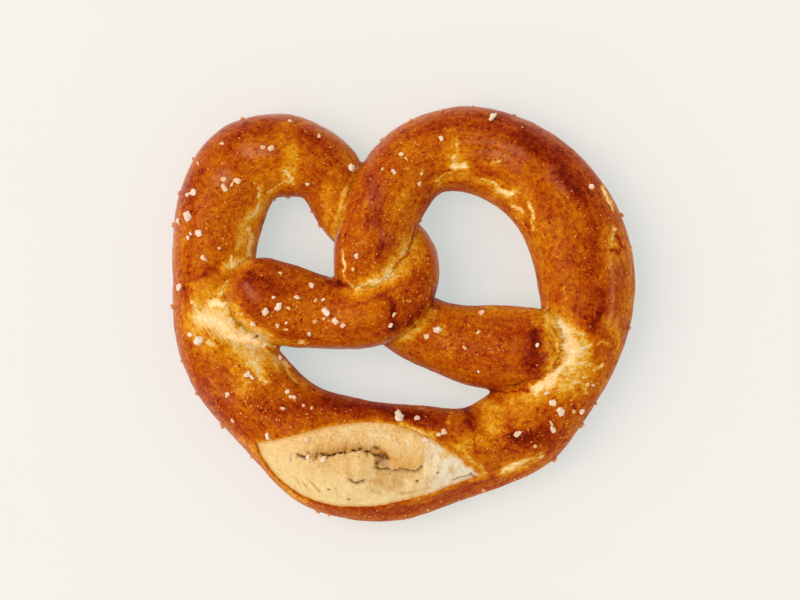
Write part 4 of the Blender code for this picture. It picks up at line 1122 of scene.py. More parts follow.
# %% Press the forms into the face, each by so many millimetres
crumb_lift = FACE_BULGE * ease(*BULGE_OVER, crumb_depth) - CRUMB_SINK
crumb_lift -= 0.9 * ease(0.3, -1.4, crumb_depth)
crumb_lift -= TEAR_DEPTH * valley + 0.9 * dark
crumb_lift -= BOWL_DEPTH * bowl
crumb_lift += FLAP_HEIGHT * flap - UNDER_FLAP * under_flap
crumb_lift -= HOLLOW_DEPTH * hollow * (1.0 - 0.75 * flap * ease(-6.0, -4.0, ragged[:, 0]))
crumb_lift += 1.3 * near_spot(crumb_points, *PAD) * (1.0 - hollow)
crumb_lift -= 0.6 * ledge + 0.35 * valley_edge + 0.6 * rim + 0.5 * shaded_valley
crumb_lift += 0.5 * near_path(crumb_points, RIDGE, 1.6) * (1.0 - hollow)
crumb_lift += 0.35 * strands - 0.5 * crack
from_fold = crumb_points[:, :2] - np.array(FOLD_MIDDLE)
from_fold = np.hypot(from_fold[:, 0], FOLD_OVAL * from_fold[:, 1])
for distance, height in FOLDS:
    fold = beside(from_fold - distance, FOLD_WIDTH)
    crumb_lift += height * fold * ease(-2.0, 6.0, crumb_points[:, 0])
for size, height in SPONGE:
    crumb_lift += rumple(crumb_points, size, 40.0) * height * ease(-1.0, 0.8, crumb_depth)
print("crumb's deepest place in mm:", round(float(crumb_lift.min()), 2))

# %% Prick the pores
draw = random.Random(PORE_SEED)
pore_mask = np.zeros(len(crumb_points))
inner = np.where(crumb_depth > 1.5)[0]
for _ in range(PORES):
    middle = crumb_points[inner[draw.randrange(len(inner))]]
    reach = draw.uniform(*PORE_REACH)
    pore = beside(np.linalg.norm(crumb_points - middle, axis=1), reach)
    pore_mask = np.maximum(pore_mask, pore)
speck_mask = np.zeros(len(crumb_points))
for x, y in OPEN_PORES:
    speck_mask = np.maximum(speck_mask, near_spot(crumb_points, x, y, 0.5, 0.4))
crumb_lift -= 0.35 * pore_mask + 0.6 * speck_mask
print("pores:", PORES + len(OPEN_PORES))

# %% Keep what the crumb's finish reads: painted shallow shade, painted deep shade, warm places partly browned and partly painted shade, and pale places, some of them painted light
crumb_x, crumb_y = crumb_points[:, 0], crumb_points[:, 1]
blotches = rumple(crumb_points, 4.0, 90.0)
# mostly painted shade: the tear's slope, under the flap, the ledge, the valley, the pores, the hollow and
# its rim, beside the pad and in the flap's fold, darker towards the left, with random blotches; the torn
# strands get painted light
shade = sum(amount * form for amount, form in (
    (0.72, valley), (0.45, under_flap), (0.30, ledge), (0.40, valley_edge), (0.25, pore_mask),
    (0.50, shaded_valley * ease(-0.6, 0.3, blotches)), (0.35, rim), (0.55, ease(0.2, 0.8, hollow)),
    (-0.50, strands), (0.14, ease(-8.0, -30.0, crumb_x)), (0.10, bowl), (0.07, blotches),
    (0.22, near_path(ragged, BELOW_TEAR, 2.8)), (0.16, near_spot(ragged, *UNDER_PAD)),
    (0.22, near_path(ragged, PAD_SIDE, 1.1)), (0.55, near_path(ragged, FLAP_FOLD, 0.9)),
))
grey = near_spot(ragged, *GREY_PATCH)
flap_line = near_path(ragged, FLAP_EDGE, 0.5) * ease(0.45, 0.05, above_flap)
flap_line *= 0.75 + 0.25 * ease(0.0, 6.0, crumb_x)
hollow_dark = ease(0.45, 0.95, hollow) * (1.0 - 0.9 * grey)
hollow_dark *= ease(-0.5, 0.2, rumple(crumb_points, 1.6, 93.0))
broken_rim = rim * ease(-0.4, 0.3, rumple(crumb_points, 1.8, 95.0))
# painted dark shade: the tear's bottom, the line under the flap, the hollow, the crack, the open pores,
# the hollow's rim and the ledge
deep = DARKEN * np.maximum.reduce([
    0.9 * dark, flap_line, 0.8 * hollow_dark, 0.5 * crack, 0.7 * speck_mask, 0.65 * broken_rim,
    0.6 * near_path(ragged, LEDGE[:4], 0.45),
])
# warm colour: real browning along the upper lip's edge, and painted warm shade on the flap, in the hollow
# and above the flap
toasted_and_shaded = flap * ease(9.0, 4.0, above_flap) + 0.5 * hollow
toasted_and_shaded += near_path(crumb_points, GOLD_EDGE, 1.3) + 0.5 * near_spot(ragged, *ABOVE_FLAP)
for name, values in (("shade", shade), ("deep", deep), ("toasted_and_shaded", toasted_and_shaded), ("grey", grey)):
    store(crumb, name, np.clip(values, 0.0, 1.0))
store(crumb, "inside", np.clip(crumb_depth, 0.0, 20.0) * MM)
store(crumb, "rosy", ease(4.0, 14.0, crumb_x) * ease(-0.6, 0.1, rumple(crumb_points, 3.0, 50.0)))
# painted light: the lower crumb, which slopes away from the lamp, is painted brighter
store(crumb, "painted_light_low", ease(-55.0, -65.0, crumb_y + 0.25 * crumb_x))
print("share of the crumb in deep shade:", round(float((deep > 0.5).mean()), 3))

# %% Close the crumb
write_points(crumb, crumb_points + crumb_normals * crumb_lift[:, None] + into_frame)
patch = bmesh.new()
patch.from_mesh(crumb.data)
rim_edges = [edge for edge in patch.edges if edge.is_boundary]
skirt = bmesh.ops.extrude_edge_only(patch, edges=rim_edges)["geom"]
skirt_points = [part for part in skirt if isinstance(part, bmesh.types.BMVert)]
skirt_edges = [part for part in skirt if isinstance(part, bmesh.types.BMEdge)]
bmesh.ops.translate(patch, verts=skirt_points, vec=Vector((0.0, 0.0, -CRUMB_THICKNESS * MM)))
bmesh.ops.holes_fill(patch, edges=skirt_edges, sides=0)
print("open edges left:", sum(edge.is_boundary for edge in patch.edges))
patch.to_mesh(crumb.data)
patch.free()
crumb.data.shade_smooth()
report(crumb)

# %% [markdown]
# ## Colours
#
# Browning is one number here, from raw dough to mahogany, and one ramp turns it into colour. So
# the skin, its blisters and the grains of salt that were baked over all brown alike. On the crust
# that number also carries painted shade in creases and corners, and the group adds painted glints.
# The ramp sits in a shader group with the fine mottling, because more than one material uses it.
# What is wider than a few millimetres was stored on the points above, and the group adds what is
# finer.

# %% Screen colours, and a start for each material
def paint(red, green, blue):
    """A colour as a screen shows it, 0 to 255, as the linear colour that a socket takes."""
    return tuple(((c / 255 + 0.055) / 1.055) ** 2.4 for c in (red, green, blue)) + (1.0,)


def new_material(name):
    """An empty material with its Principled BSDF, and the place on the object in metres."""
    material = bpy.data.materials.new(name)
    material.use_nodes = True
    tree = material.node_tree
    place = result(add_node(tree, "ShaderNodeTexCoord"), "Object")
    return material, tree, tree.nodes["Principled BSDF"], place


def stored(tree, name, kind="Fac"):
    """What is kept on the points under that name: a number, or with kind Vector, a vector."""
    return result(add_node(tree, "ShaderNodeAttribute", setup={"attribute_name": name}), kind)


def put_in(tree, group, **named):
    """A shader group placed in a material's tree, with its inputs plugged in by name."""
    made = tree.nodes.new("ShaderNodeGroup")
    made.node_tree = group
    plug_into(tree, made, **named)
    return made.outputs


def ramp(tree, value, stops):
    """A colour ramp. Each stop is a position and a colour."""
    made = add_node(tree, "ShaderNodeValToRGB", value)
    elements = made.color_ramp.elements
    while len(elements) < len(stops):
        elements.new(0.5)
    for element, (position, colour) in zip(elements, stops):
        element.position = position
        element.color = colour
    return result(made, "Color")


def blend(tree, share, low, high):
    """A colour between two others."""
    return result(add_node(tree, "ShaderNodeMix", share, low, high, setup={"data_type": "RGBA"}))


def fuzz(tree, place, size, detail=2.0, roughness=0.5, offset=(0.0, 0.0, 0.0)):
    """Noise from 0 to 1 with bumps of the given size in mm."""
    moved = vector_sums(tree, "ADD", place, offset)
    setup = {"noise_dimensions": "3D"}
    made = add_node(tree, "ShaderNodeTexNoise", setup=setup, Vector=moved, Scale=1.0 / (size * MM),
                    Detail=detail, Roughness=roughness)
    return made.outputs["Fac"]


def cells(tree, place, size, offset=(0.0, 0.0, 0.0)):
    """Distance to the nearest of many scattered spots, as a share of their spacing in mm."""
    moved = vector_sums(tree, "ADD", place, offset)
    made = add_node(tree, "ShaderNodeTexVoronoi", Vector=moved, Scale=1.0 / (size * MM))
    return made.outputs["Distance"]


# %% The oven's colours as a group
OVEN_COLOURS = (
    (0.00, paint(248, 226, 180)),
    (0.14, paint(242, 192, 96)),
    (0.30, paint(230, 156, 24)),
    (0.44, paint(213, 122, 4)),
    (0.58, paint(192, 90, 4)),
    (0.72, paint(167, 60, 2)),
    (0.86, paint(136, 33, 0)),
    (1.00, paint(98, 17, 0)),
)
FLESH_COLOURS = ((0.0, paint(238, 164, 44)), (0.45, paint(255, 208, 128)), (1.0, paint(255, 246, 230)))

tree, given, made = new_group(
    "oven_skin", "ShaderNodeTree",
    {"Place": "Vector", "Fibre Place": "Vector", "Brown": "Float", "Stretched": "Float"},
    {"Colour": "Color", "Raw": "Float", "Height": "Float", "Cloud": "Float"},
)
here = given["Place"]
cloudy = fuzz(tree, here, 3.0, 4.0, 0.62)
grainy = fuzz(tree, here, 0.6, 3.0, 0.65, (0.03, 0.01, 0.0))
patchy = fuzz(tree, here, 7.0, 2.0, 0.5, (0.0, 0.04, 0.0))
wander = add_node(tree, "ShaderNodeTexNoise", Vector=here, Scale=1.0 / (0.9 * MM), Detail=2.0)
wander = vector_sums(tree, "SUBTRACT", wander.outputs["Color"], (0.5, 0.5, 0.5))
bent = vector_sums(tree, "ADD", here, vector_sums(tree, "SCALE", wander, Scale=1.6 * MM))
where_blistered = fade(tree, patchy, 0.46, 0.62)
freckle = fade(tree, cells(tree, bent, 1.5), 0.30, 0.16)
freckle = sums(tree, "MULTIPLY", freckle, where_blistered)
# painted glints: tiny specks painted lighter where the skin would catch the light
painted_glint = fade(tree, cells(tree, bent, 1.0, (0.04, 0.02, 0.0)), 0.26, 0.12)
painted_glint = sums(tree, "MULTIPLY", painted_glint, fade(tree, cloudy, 0.50, 0.64))
pores = fade(tree, cells(tree, here, 0.95, (0.02, 0.0, 0.01)), 0.24, 0.06)
dots = fade(tree, cells(tree, bent, 5.2, (0.0, 0.02, 0.03)), 0.10, 0.06)
scorched = fade(tree, fuzz(tree, here, 2.2, 3.0, 0.6, (0.0, 0.0, 0.05)), 0.58, 0.68)
flecked = fade(tree, fuzz(tree, here, 1.5, 4.0, 0.72, (0.07, 0.0, 0.0)), 0.42, 0.58)
fibres = fuzz(tree, given["Fibre Place"], 0.7, 3.0, 0.65)
fringe = fade(tree, given["Stretched"], 0.02, 0.25)
browned = given["Brown"]
SPOTS = (  # what it is, how much browner it makes the skin, and the value that changes nothing
    (cloudy, 0.36, 0.5), (grainy, 0.20, 0.5), (flecked, 0.13, 0.5), (freckle, -0.24, 0.0),
    (painted_glint, -0.20, 0.0), (scorched, 0.17, 0.0), (pores, 0.08, 0.0), (dots, 0.30, 0.0),
)
for part, amount, middle in SPOTS:
    browned = sums(tree, "ADD", browned, -amount * middle)
    browned = sums(tree, "MULTIPLY_ADD", part, amount, browned)
streaky = sums(tree, "MULTIPLY", sums(tree, "SUBTRACT", fibres, 0.5), fringe)
browned = sums(tree, "MULTIPLY_ADD", streaky, -0.9, browned, clamp=True)
skin = ramp(tree, browned, OVEN_COLOURS)
torn = given["Stretched"]
for part, amount in ((cloudy, 0.6), (fibres, 1.05), (grainy, 0.6)):
    torn = sums(tree, "MULTIPLY_ADD", part, amount, sums(tree, "ADD", torn, -0.5 * amount))
raw = sums(tree, "MULTIPLY", fade(tree, torn, 0.32, 0.76), fringe)
pale = sums(tree, "MULTIPLY_ADD", grainy, 0.9, sums(tree, "MULTIPLY_ADD", torn, 0.8, -0.6))
flesh = ramp(tree, pale, FLESH_COLOURS)
tree.links.new(blend(tree, raw, skin, flesh), made["Colour"])
tree.links.new(raw, made["Raw"])
height = sums(tree, "MULTIPLY_ADD", freckle, 0.5, sums(tree, "MULTIPLY", grainy, 0.7))
height = sums(tree, "MULTIPLY_ADD", sums(tree, "MULTIPLY", fibres, raw), 1.0, height)
tree.links.new(sums(tree, "MULTIPLY_ADD", pores, -0.3, height), made["Height"])
tree.links.new(sums(tree, "SUBTRACT", cloudy, 0.5), made["Cloud"])
oven_skin = tree
print("nodes in the oven's group:", len(tree.nodes))

# %% The finish of the crust
CRUST_ROUGHNESS = 0.42
STREAK = (0.14, 1.0, 1.0)  # a streak is drawn out along the rope by one over the first number
LYE_GLOSS = 0.02  # how much of the whole skin is glossy
SMEARED_GLOSS = 0.05  # how much more where the lye ran
MILKY = 0.75  # and how much more where it came out milky, or where it is steep
PAINTED_SHEEN = 0.14  # how much paler and pinker a milky place is painted, as a painted sheen
PAINTED_FLESH_GLOW = 0.17  # a painted warm glow, so the stretched pale flesh stays light where it lies in shade
NO_GLOW = (0.0, 0.0, 0.0, 1.0)

material, nodes, shader, place = new_material("chestnut_crust")
along_dough = vector_sums(nodes, "MULTIPLY", stored(nodes, "rope_place", "Vector"), STREAK)
streaks = fuzz(nodes, along_dough, 1.3, 3.0, 0.6)
hairlines = fuzz(nodes, along_dough, 0.45, 2.0, 0.6, (0.05, 0.0, 0.02))
streaked = sums(nodes, "MULTIPLY_ADD", streaks, 0.24, sums(nodes, "ADD", stored(nodes, "brown"), -0.12))
streaked = sums(nodes, "MULTIPLY_ADD", hairlines, 0.08, sums(nodes, "ADD", streaked, -0.04))
dashes = fade(nodes, fuzz(nodes, along_dough, 0.9, 2.0, 0.5, (0.0, 0.09, 0.04)), 0.58, 0.70)
streaked = sums(nodes, "MULTIPLY_ADD", dashes, -0.06, streaked)
skin = put_in(nodes, oven_skin, Place=place, Fibre_Place=stored(nodes, "fibre_place", "Vector"),
              Brown=streaked, Stretched=stored(nodes, "stretched"))
under_side = stored(nodes, "under")
tray_brown = blend(nodes, fuzz(nodes, place, 2.2, 4.0, 0.7), paint(150, 84, 34), paint(196, 128, 62))
tray_share = sums(nodes, "MULTIPLY", under_side, 0.65)
smeared = fade(nodes, fuzz(nodes, along_dough, 2.4, 4.0, 0.6, (0.02, 0.06, 0.0)), 0.38, 0.62)
sheen_and_gloss = sums(nodes, "MULTIPLY", stored(nodes, "glazed"), smeared)
# painted sheen: the milky places are painted pale pink, like a soft reflection
painted_sheen_colour = blend(nodes, sums(nodes, "MULTIPLY", sheen_and_gloss, PAINTED_SHEEN), skin["Colour"], paint(232, 160, 128))
rough = sums(nodes, "MULTIPLY_ADD", skin["Cloud"], 0.35, CRUST_ROUGHNESS)
rough = sums(nodes, "MULTIPLY_ADD", skin["Raw"], 0.34, rough)
glossy = sums(nodes, "MULTIPLY_ADD", sheen_and_gloss, MILKY, LYE_GLOSS)
glossy = sums(nodes, "MULTIPLY_ADD", smeared, SMEARED_GLOSS, glossy)
glossy = sums(nodes, "MULTIPLY_ADD", stored(nodes, "steep"), MILKY, glossy)
damp = sums(nodes, "SUBTRACT", 1.0, sums(nodes, "MAXIMUM", skin["Raw"], under_side), clamp=True)
relief = sums(nodes, "MULTIPLY_ADD", hairlines, 0.5, skin["Height"])
relief = sums(nodes, "MULTIPLY_ADD", streaks, 0.9, relief)
bump = add_node(nodes, "ShaderNodeBump", Strength=1.0, Distance=0.34 * MM, Height=relief)
plug_into(
    nodes, shader,
    Base_Color=blend(nodes, tray_share, painted_sheen_colour, tray_brown),
    # painted light: the pale flesh glows warm, though it is no lamp
    Emission_Color=blend(nodes, skin["Raw"], NO_GLOW, paint(255, 176, 60)),
    Emission_Strength=PAINTED_FLESH_GLOW,
    Roughness=sums(nodes, "MULTIPLY_ADD", under_side, 0.3, rough, clamp=True),
    Specular_IOR_Level=0.03,
    Specular_Tint=paint(255, 190, 160),
    Coat_Weight=sums(nodes, "MULTIPLY", glossy, damp, clamp=True),
    Coat_Roughness=0.22,
    Coat_IOR=1.5,
    Normal=result(bump),
)
crust.data.materials.clear()
crust.data.materials.append(material)
print("nodes in the crust's finish:", len(nodes.nodes))

# %% The finish of the blisters: the same skin, without the fibres
material, nodes, shader, place = new_material("blistered_crust")
skin = put_in(nodes, oven_skin, Place=place, Brown=stored(nodes, "brown"))
creamy = blend(nodes, stored(nodes, "cream"), skin["Colour"], paint(238, 176, 96))
plug_into(nodes, shader, Base_Color=creamy, Roughness=0.4, Specular_IOR_Level=0.12)
blister_finish = material
print("nodes in the blisters' finish:", len(nodes.nodes))

# %% The finish of the crumb
CRUMB_COLOURS = (
    (0.0, paint(226, 168, 88)),
    (0.35, paint(242, 196, 124)),
    (0.7, paint(250, 214, 148)),
    (1.0, paint(255, 233, 188)),
)
CRUMB_TINTS = (  # what is kept on the points, how strongly it shows, and its colour
    # painted light on the lower crumb
    ("painted_light_low", 0.60, paint(255, 228, 164)),
    ("rosy", 0.85, paint(255, 236, 204)),
    # partly browning, partly painted warm shade
    ("toasted_and_shaded", 0.75, paint(224, 168, 78)),
    # painted shade, and below it the painted dark shade of the deepest places
    ("shade", 1.00, paint(206, 142, 56)),
    ("deep", 1.00, paint(84, 34, 0)),
    ("grey", 0.70, paint(196, 160, 128)),
)
material, nodes, shader, place = new_material("pale_crumb")
doughy = fuzz(nodes, place, 4.0, 5.0, 0.65)
fine = fuzz(nodes, place, 0.9, 4.0, 0.62, (0.01, 0.02, 0.0))
crumb_tone = sums(nodes, "MULTIPLY_ADD", fine, 1.6, sums(nodes, "MULTIPLY_ADD", doughy, 1.9, -1.23))
tinted = ramp(nodes, crumb_tone, CRUMB_COLOURS)
for name, share, colour in CRUMB_TINTS:
    tinted = blend(nodes, sums(nodes, "MULTIPLY", stored(nodes, name), share), tinted, colour)
lip_line = fade(nodes, stored(nodes, "inside"), 1.5 * MM, 0.3 * MM)
edged = blend(nodes, sums(nodes, "MULTIPLY", lip_line, 0.55), tinted, paint(230, 158, 60))
holes = fade(nodes, cells(nodes, place, 1.1), 0.30, 0.08)
crumb_relief = sums(nodes, "MULTIPLY_ADD", holes, -0.7, sums(nodes, "MULTIPLY", fine, 1.6))
bump = add_node(nodes, "ShaderNodeBump", Strength=1.0, Distance=0.3 * MM, Height=crumb_relief)
plug_into(
    nodes, shader, Base_Color=edged, Roughness=0.82, Specular_IOR_Level=0.2, Normal=result(bump),
    Subsurface_Weight=0.12, Subsurface_Radius=(1.0, 0.6, 0.3), Subsurface_Scale=0.8 * MM,
)
crumb.data.materials.clear()
crumb.data.materials.append(material)
print("nodes in the crumb's finish:", len(nodes.nodes))

# %% The finish of the salt
material, nodes, shader, place = new_material("baked_salt")
cloud = fuzz(nodes, place, 0.8, 3.0, 0.6)
white = blend(nodes, fade(nodes, cloud, 0.35, 0.65), paint(240, 204, 170), paint(250, 230, 208))
baked_over = put_in(nodes, oven_skin, Place=place, Brown=stored(nodes, "brown"))
bump = add_node(nodes, "ShaderNodeBump", Strength=0.5, Distance=0.15 * MM, Height=cloud)
plug_into(
    nodes, shader, Base_Color=blend(nodes, stored(nodes, "covered"), white, baked_over["Colour"]),
    Roughness=sums(nodes, "MULTIPLY_ADD", cloud, 0.3, 0.3), Normal=result(bump),
    Subsurface_Weight=0.35, Subsurface_Radius=(1.0, 0.8, 0.6), Subsurface_Scale=0.5 * MM,
)
salt_finish = material
print("nodes in the salt's finish:", len(nodes.nodes))

# %% [markdown]
# ## Salt
#
# Coarse salt falls on the wet dough in small groups, and most of it stays where it fell. A grain
# is a broken cube, rounded by the lye. Grains on the sides are glazed over by the skin and bake
# brown. The measured model draws the same groups with the same seed, so its grains are where these
# are. A Geometry Nodes tree puts one chipped grain on each place, turned at random.

# %% The groups of grains: x, y, half the group's extent in x and y, grains, the largest grain
SALT_SEED = 7
SALT_PATCHES = (
    (-40.0, 68.7, 0.5, 0.5, 1, 1.5),
    (-29.6, 63.4, 0.5, 0.5, 1, 1.6),
    (-47.6, 58.9, 2.2, 0.8, 2, 2.0),
    (-63.9, 59.4, 1.0, 1.0, 1, 1.5),
    (-72.5, 53.4, 0.5, 0.5, 1, 1.6),
    (-74.3, 42.8, 2.2, 1.0, 2, 2.0),
    (-61.3, 45.8, 3.0, 2.2, 4, 2.2),
    (-18.8, 51.4, 0.5, 0.5, 1, 2.5),
    (-33.6, 46.2, 0.5, 0.5, 1, 1.4),
    (-76.0, 34.0, 0.4, 0.4, 1, 3.0),
    (-79.4, 33.4, 0.4, 1.0, 1, 2.1),
    (-72.6, 28.6, 0.5, 0.5, 1, 2.3),
    (-75.4, 28.2, 1.5, 2.5, 2, 1.6),
    (-70.6, 19.0, 1.6, 0.8, 2, 1.9),
    (-64.6, 23.4, 0.5, 0.5, 1, 1.4),
    (-79.0, 9.2, 0.4, 0.6, 1, 2.4),
    (-72.8, -9.8, 0.4, 0.4, 1, 3.0),
    (-75.5, -8.0, 0.6, 0.6, 1, 1.6),
    (-42.5, 14.6, 1.5, 0.8, 1, 1.4),
    (-32.1, 10.2, 0.5, 0.5, 1, 1.8),
    (-46.4, 5.0, 1.0, 1.0, 1, 1.5),
    (-48.4, 1.2, 0.4, 0.4, 1, 2.3),
    (-44.4, 2.2, 0.4, 0.4, 1, 2.5),
    (-38.6, 4.0, 3.0, 2.0, 2, 1.5),
    (-27.3, 5.4, 4.0, 1.0, 2, 1.4),
    (-27.5, 0.2, 0.4, 0.4, 1, 2.7),
    (-22.4, -4.0, 1.8, 1.6, 2, 2.1),
    (-30.6, -4.6, 3.0, 3.0, 3, 1.6),
    (-41.2, -4.4, 3.6, 1.4, 3, 1.7),
    (-53.3, -3.6, 0.5, 0.5, 1, 1.9),
    (-44.4, -15.6, 0.5, 0.5, 1, 1.6),
    (-54.6, -21.8, 1.2, 1.2, 2, 1.8),
    (-61.8, -29.1, 0.5, 0.5, 1, 1.9),
    (-40.2, -28.2, 1.2, 1.6, 2, 1.8),
    (-60.7, -38.4, 0.5, 0.5, 1, 1.5),
    (-48.2, -43.4, 0.4, 0.4, 1, 2.2),
    (-38.0, -33.6, 7.0, 1.4, 3, 1.5),
    (-1.4, -36.9, 0.3, 0.3, 1, 3.2),
    (4.6, -37.4, 0.4, 0.4, 1, 2.0),
    (14.4, -43.0, 2.0, 0.8, 2, 1.9),
    (28.1, -0.6, 0.5, 0.5, 1, 2.1),
    (47.6, -11.2, 0.5, 0.5, 1, 1.4),
    (22.0, -12.0, 6.0, 9.0, 3, 1.6),
    (66.4, -24.4, 3.0, 1.5, 2, 1.5),
    (51.6, -27.6, 0.8, 0.8, 1, 1.7),
    (53.6, -30.6, 0.8, 1.0, 2, 2.1),
    (55.6, -35.0, 0.5, 0.5, 1, 2.2),
    (62.2, -35.4, 2.0, 1.2, 2, 1.7),
    (52.4, -40.0, 0.9, 1.4, 2, 2.0),
    (40.2, -43.0, 0.5, 0.5, 1, 2.2),
    (46.4, -46.1, 1.0, 1.0, 1, 1.4),
    (31.7, 69.4, 0.4, 0.4, 1, 2.4),
    (13.6, 61.6, 0.4, 0.4, 1, 1.9),
    (1.4, 55.8, 3.0, 1.0, 2, 1.5),
    (-3.0, 49.9, 0.4, 0.4, 1, 2.1),
    (-7.5, 50.9, 0.6, 0.6, 1, 1.3),
    (4.4, 47.4, 2.4, 4.0, 2, 1.6),
    (-17.3, 20.0, 1.0, 8.0, 2, 1.6),
    (-3.2, -2.6, 1.6, 2.6, 2, 1.6),
    (8.4, -7.6, 0.6, 0.6, 1, 1.7),
    (12.2, -5.8, 0.4, 0.4, 1, 2.5),
    (66.2, 44.8, 0.5, 0.5, 1, 1.7),
    (74.6, 29.6, 0.6, 1.0, 1, 1.4),
    (-40.4, -51.4, 0.5, 0.4, 1, 1.7),
    (-34.2, -44.4, 0.6, 0.5, 1, 1.6),
    (-33.4, -50.6, 0.5, 0.3, 1, 1.5),
    (-28.0, -51.8, 0.4, 0.4, 1, 2.3),
    (7.6, -44.4, 0.4, 0.4, 1, 2.2),
)
# Salt on the sides: first and last share of the rope, side (1 inner, -1 outer), grains.
SIDE_SALT = (
    (0.24, 0.47, -1, 14),
    (0.47, 0.60, -1, 8),
    (0.62, 0.70, -1, 5),
    (0.72, 0.84, -1, 9),
    (0.02, 0.09, 1, 4),
)
SIDE_SALT_HEIGHT = (6.0, 15.0)
SIDE_SALT_SIZE = (1.0, 1.7)
TRIES = 12  # spots drawn for each grain, of which the first clear one is taken
ABOVE = 60.0
LOWEST_SALT = 4.0
SMALLER_BY = 0.4  # the last grain of a group is nearly this much smaller than its largest
GRAIN_GAP = 0.62  # least distance between two grains, as a share of their sizes together


def surface_of(*pieces):
    """A search tree of the pieces' surfaces together, in mm."""
    corners, triangles = [], []
    for piece in pieces:
        triangles += (triangles_of(piece) + len(corners)).tolist()
        corners += [Vector(point) for point in read_points(piece) - into_frame]
    return BVHTree.FromPolygons(corners, triangles)


bread_search = surface_of(crust, crumb)


def clear_of(places, place, size):
    """True where a grain of this size stands clear of those that lie already."""
    return all((place - near).length > GRAIN_GAP * (size + near_size) for near, _, near_size, _ in places)


def salt_places(draw):
    """A point on the crust for each grain, the way out of it, the grain's size and its glaze."""
    places = []
    for x, y, reach_x, reach_y, grains, largest in SALT_PATCHES:
        for rank in range(grains):
            size = largest * (1.0 - SMALLER_BY * rank / grains)
            spots = [(draw.uniform(-reach_x, reach_x), draw.uniform(-reach_y, reach_y))
                     for _ in range(TRIES)]
            for across, along in spots:
                spot = Vector((x + across, y + along, ABOVE))
                place, normal, _, _ = bread_search.ray_cast(spot, Vector((0.0, 0.0, -1.0)))
                if place is not None and place.z > LOWEST_SALT and clear_of(places, place, size):
                    places.append((place, normal, size, 0.0))
                    break
    for first, last, which, grains in SIDE_SALT:
        for rank in range(grains):
            share = first + (last - first) * (rank + draw.uniform(0.1, 0.9)) / grains
            ring = round(share * (len(rings) - 1))
            size = draw.uniform(*SIDE_SALT_SIZE)
            height = draw.uniform(*SIDE_SALT_HEIGHT)
            outward = Vector(side[ring] * which)
            middle = Vector((rings[ring, 0], rings[ring, 1], height))
            place, normal, _, _ = bread_search.ray_cast(middle + outward * ABOVE, -outward)
            if place is not None and clear_of(places, place, size):
                places.append((place, normal, size, 1.0))
    return places


grains = salt_places(random.Random(SALT_SEED))
print("grains of salt:", len(grains))

# %% The tree that puts a chipped grain on each place
TILT = 0.5  # how far a grain leans, in radians
LEAST_SIDES, MOST_SIDES = (0.85, 0.50, 0.85), (1.25, 0.95, 1.15)  # a grain's sides, as shares of its size

tree, given, made = geometry_tree("strew_salt", {
    "Sides": "Int", "Roundness": "Float", "Flatness": "Float", "Chips": "Float", "Seed": "Int",
    "Finish": "Material",
})
cube = add_node(tree, "GeometryNodeMeshCube", (1.0, 1.0, 1.0), *[given["Sides"]] * 3)
here = result(add_node(tree, "GeometryNodeInputPosition"))
ball = vector_sums(tree, "SCALE", vector_sums(tree, "NORMALIZE", here), Scale=0.6)
setup = {"data_type": "VECTOR"}
rounded = result(add_node(tree, "ShaderNodeMix", given["Roundness"], here, ball, setup=setup))
grain = add_node(tree, "GeometryNodeSetPosition", result(cube, "Mesh"), Position=rounded)
setup = {"data_type": "FLOAT_VECTOR"}
way_out = add_node(tree, "GeometryNodeInputNamedAttribute", "way_out", setup=setup)
size = add_node(tree, "GeometryNodeInputNamedAttribute", "size", setup={"data_type": "FLOAT"})
size = result(size)
upright = add_node(tree, "FunctionNodeAlignRotationToVector", Vector=result(way_out),
                   setup={"axis": "Z"})
turn = add_node(tree, "FunctionNodeRandomValue", setup=setup, Min=(-TILT, -TILT, 0.0),
                Max=(TILT, TILT, math.tau), Seed=given["Seed"])
turned = add_node(tree, "FunctionNodeRotateRotation", result(upright), result(turn),
                  setup={"rotation_space": "LOCAL"})
stretch = add_node(tree, "FunctionNodeRandomValue", setup=setup, Min=LEAST_SIDES, Max=MOST_SIDES,
                   Seed=sums(tree, "ADD", given["Seed"], 1.0))
flattened = add_node(tree, "ShaderNodeCombineXYZ", 1.0, 1.0, given["Flatness"])
scale = vector_sums(tree, "MULTIPLY", result(stretch), result(flattened))
scale = vector_sums(tree, "SCALE", scale, Scale=size)
strewn = add_node(tree, "GeometryNodeInstanceOnPoints", Points=given["Mesh"], Instance=result(grain),
                  Rotation=result(turned), Scale=scale)
realized = add_node(tree, "GeometryNodeRealizeInstances", result(strewn))
lumps = fuzz(tree, here, 1.3, 1.0)
chip = sums(tree, "MULTIPLY", sums(tree, "SUBTRACT", lumps, 0.5), given["Chips"])
outward = result(add_node(tree, "GeometryNodeInputNormal"))
chip_offset = vector_sums(tree, "SCALE", outward, Scale=sums(tree, "MULTIPLY", chip, size))
chipped = add_node(tree, "GeometryNodeSetPosition", result(realized), Offset=chip_offset)
finished = add_node(tree, "GeometryNodeSetMaterial", result(chipped), Material=given["Finish"])
tree.links.new(result(finished), made["Mesh"])
salt_tree = tree
print("nodes in the salt's tree:", len(tree.nodes))

# %% Strew the salt
GLAZE_SEED = 5
SALT_SINK = 0.22  # share of a grain's size that is sunk in the crust
GRAIN_THICKNESS = 0.7
MOST_GLAZE, UNGLAZED_SIZE = 0.75, 2.6  # the skin creeps over small grains, and not over large ones
BAKED_OVER, COVER_LIMIT = 0.75, 0.8
TOP_SALT_BROWN, SIDE_SALT_BROWN = 0.22, 0.45


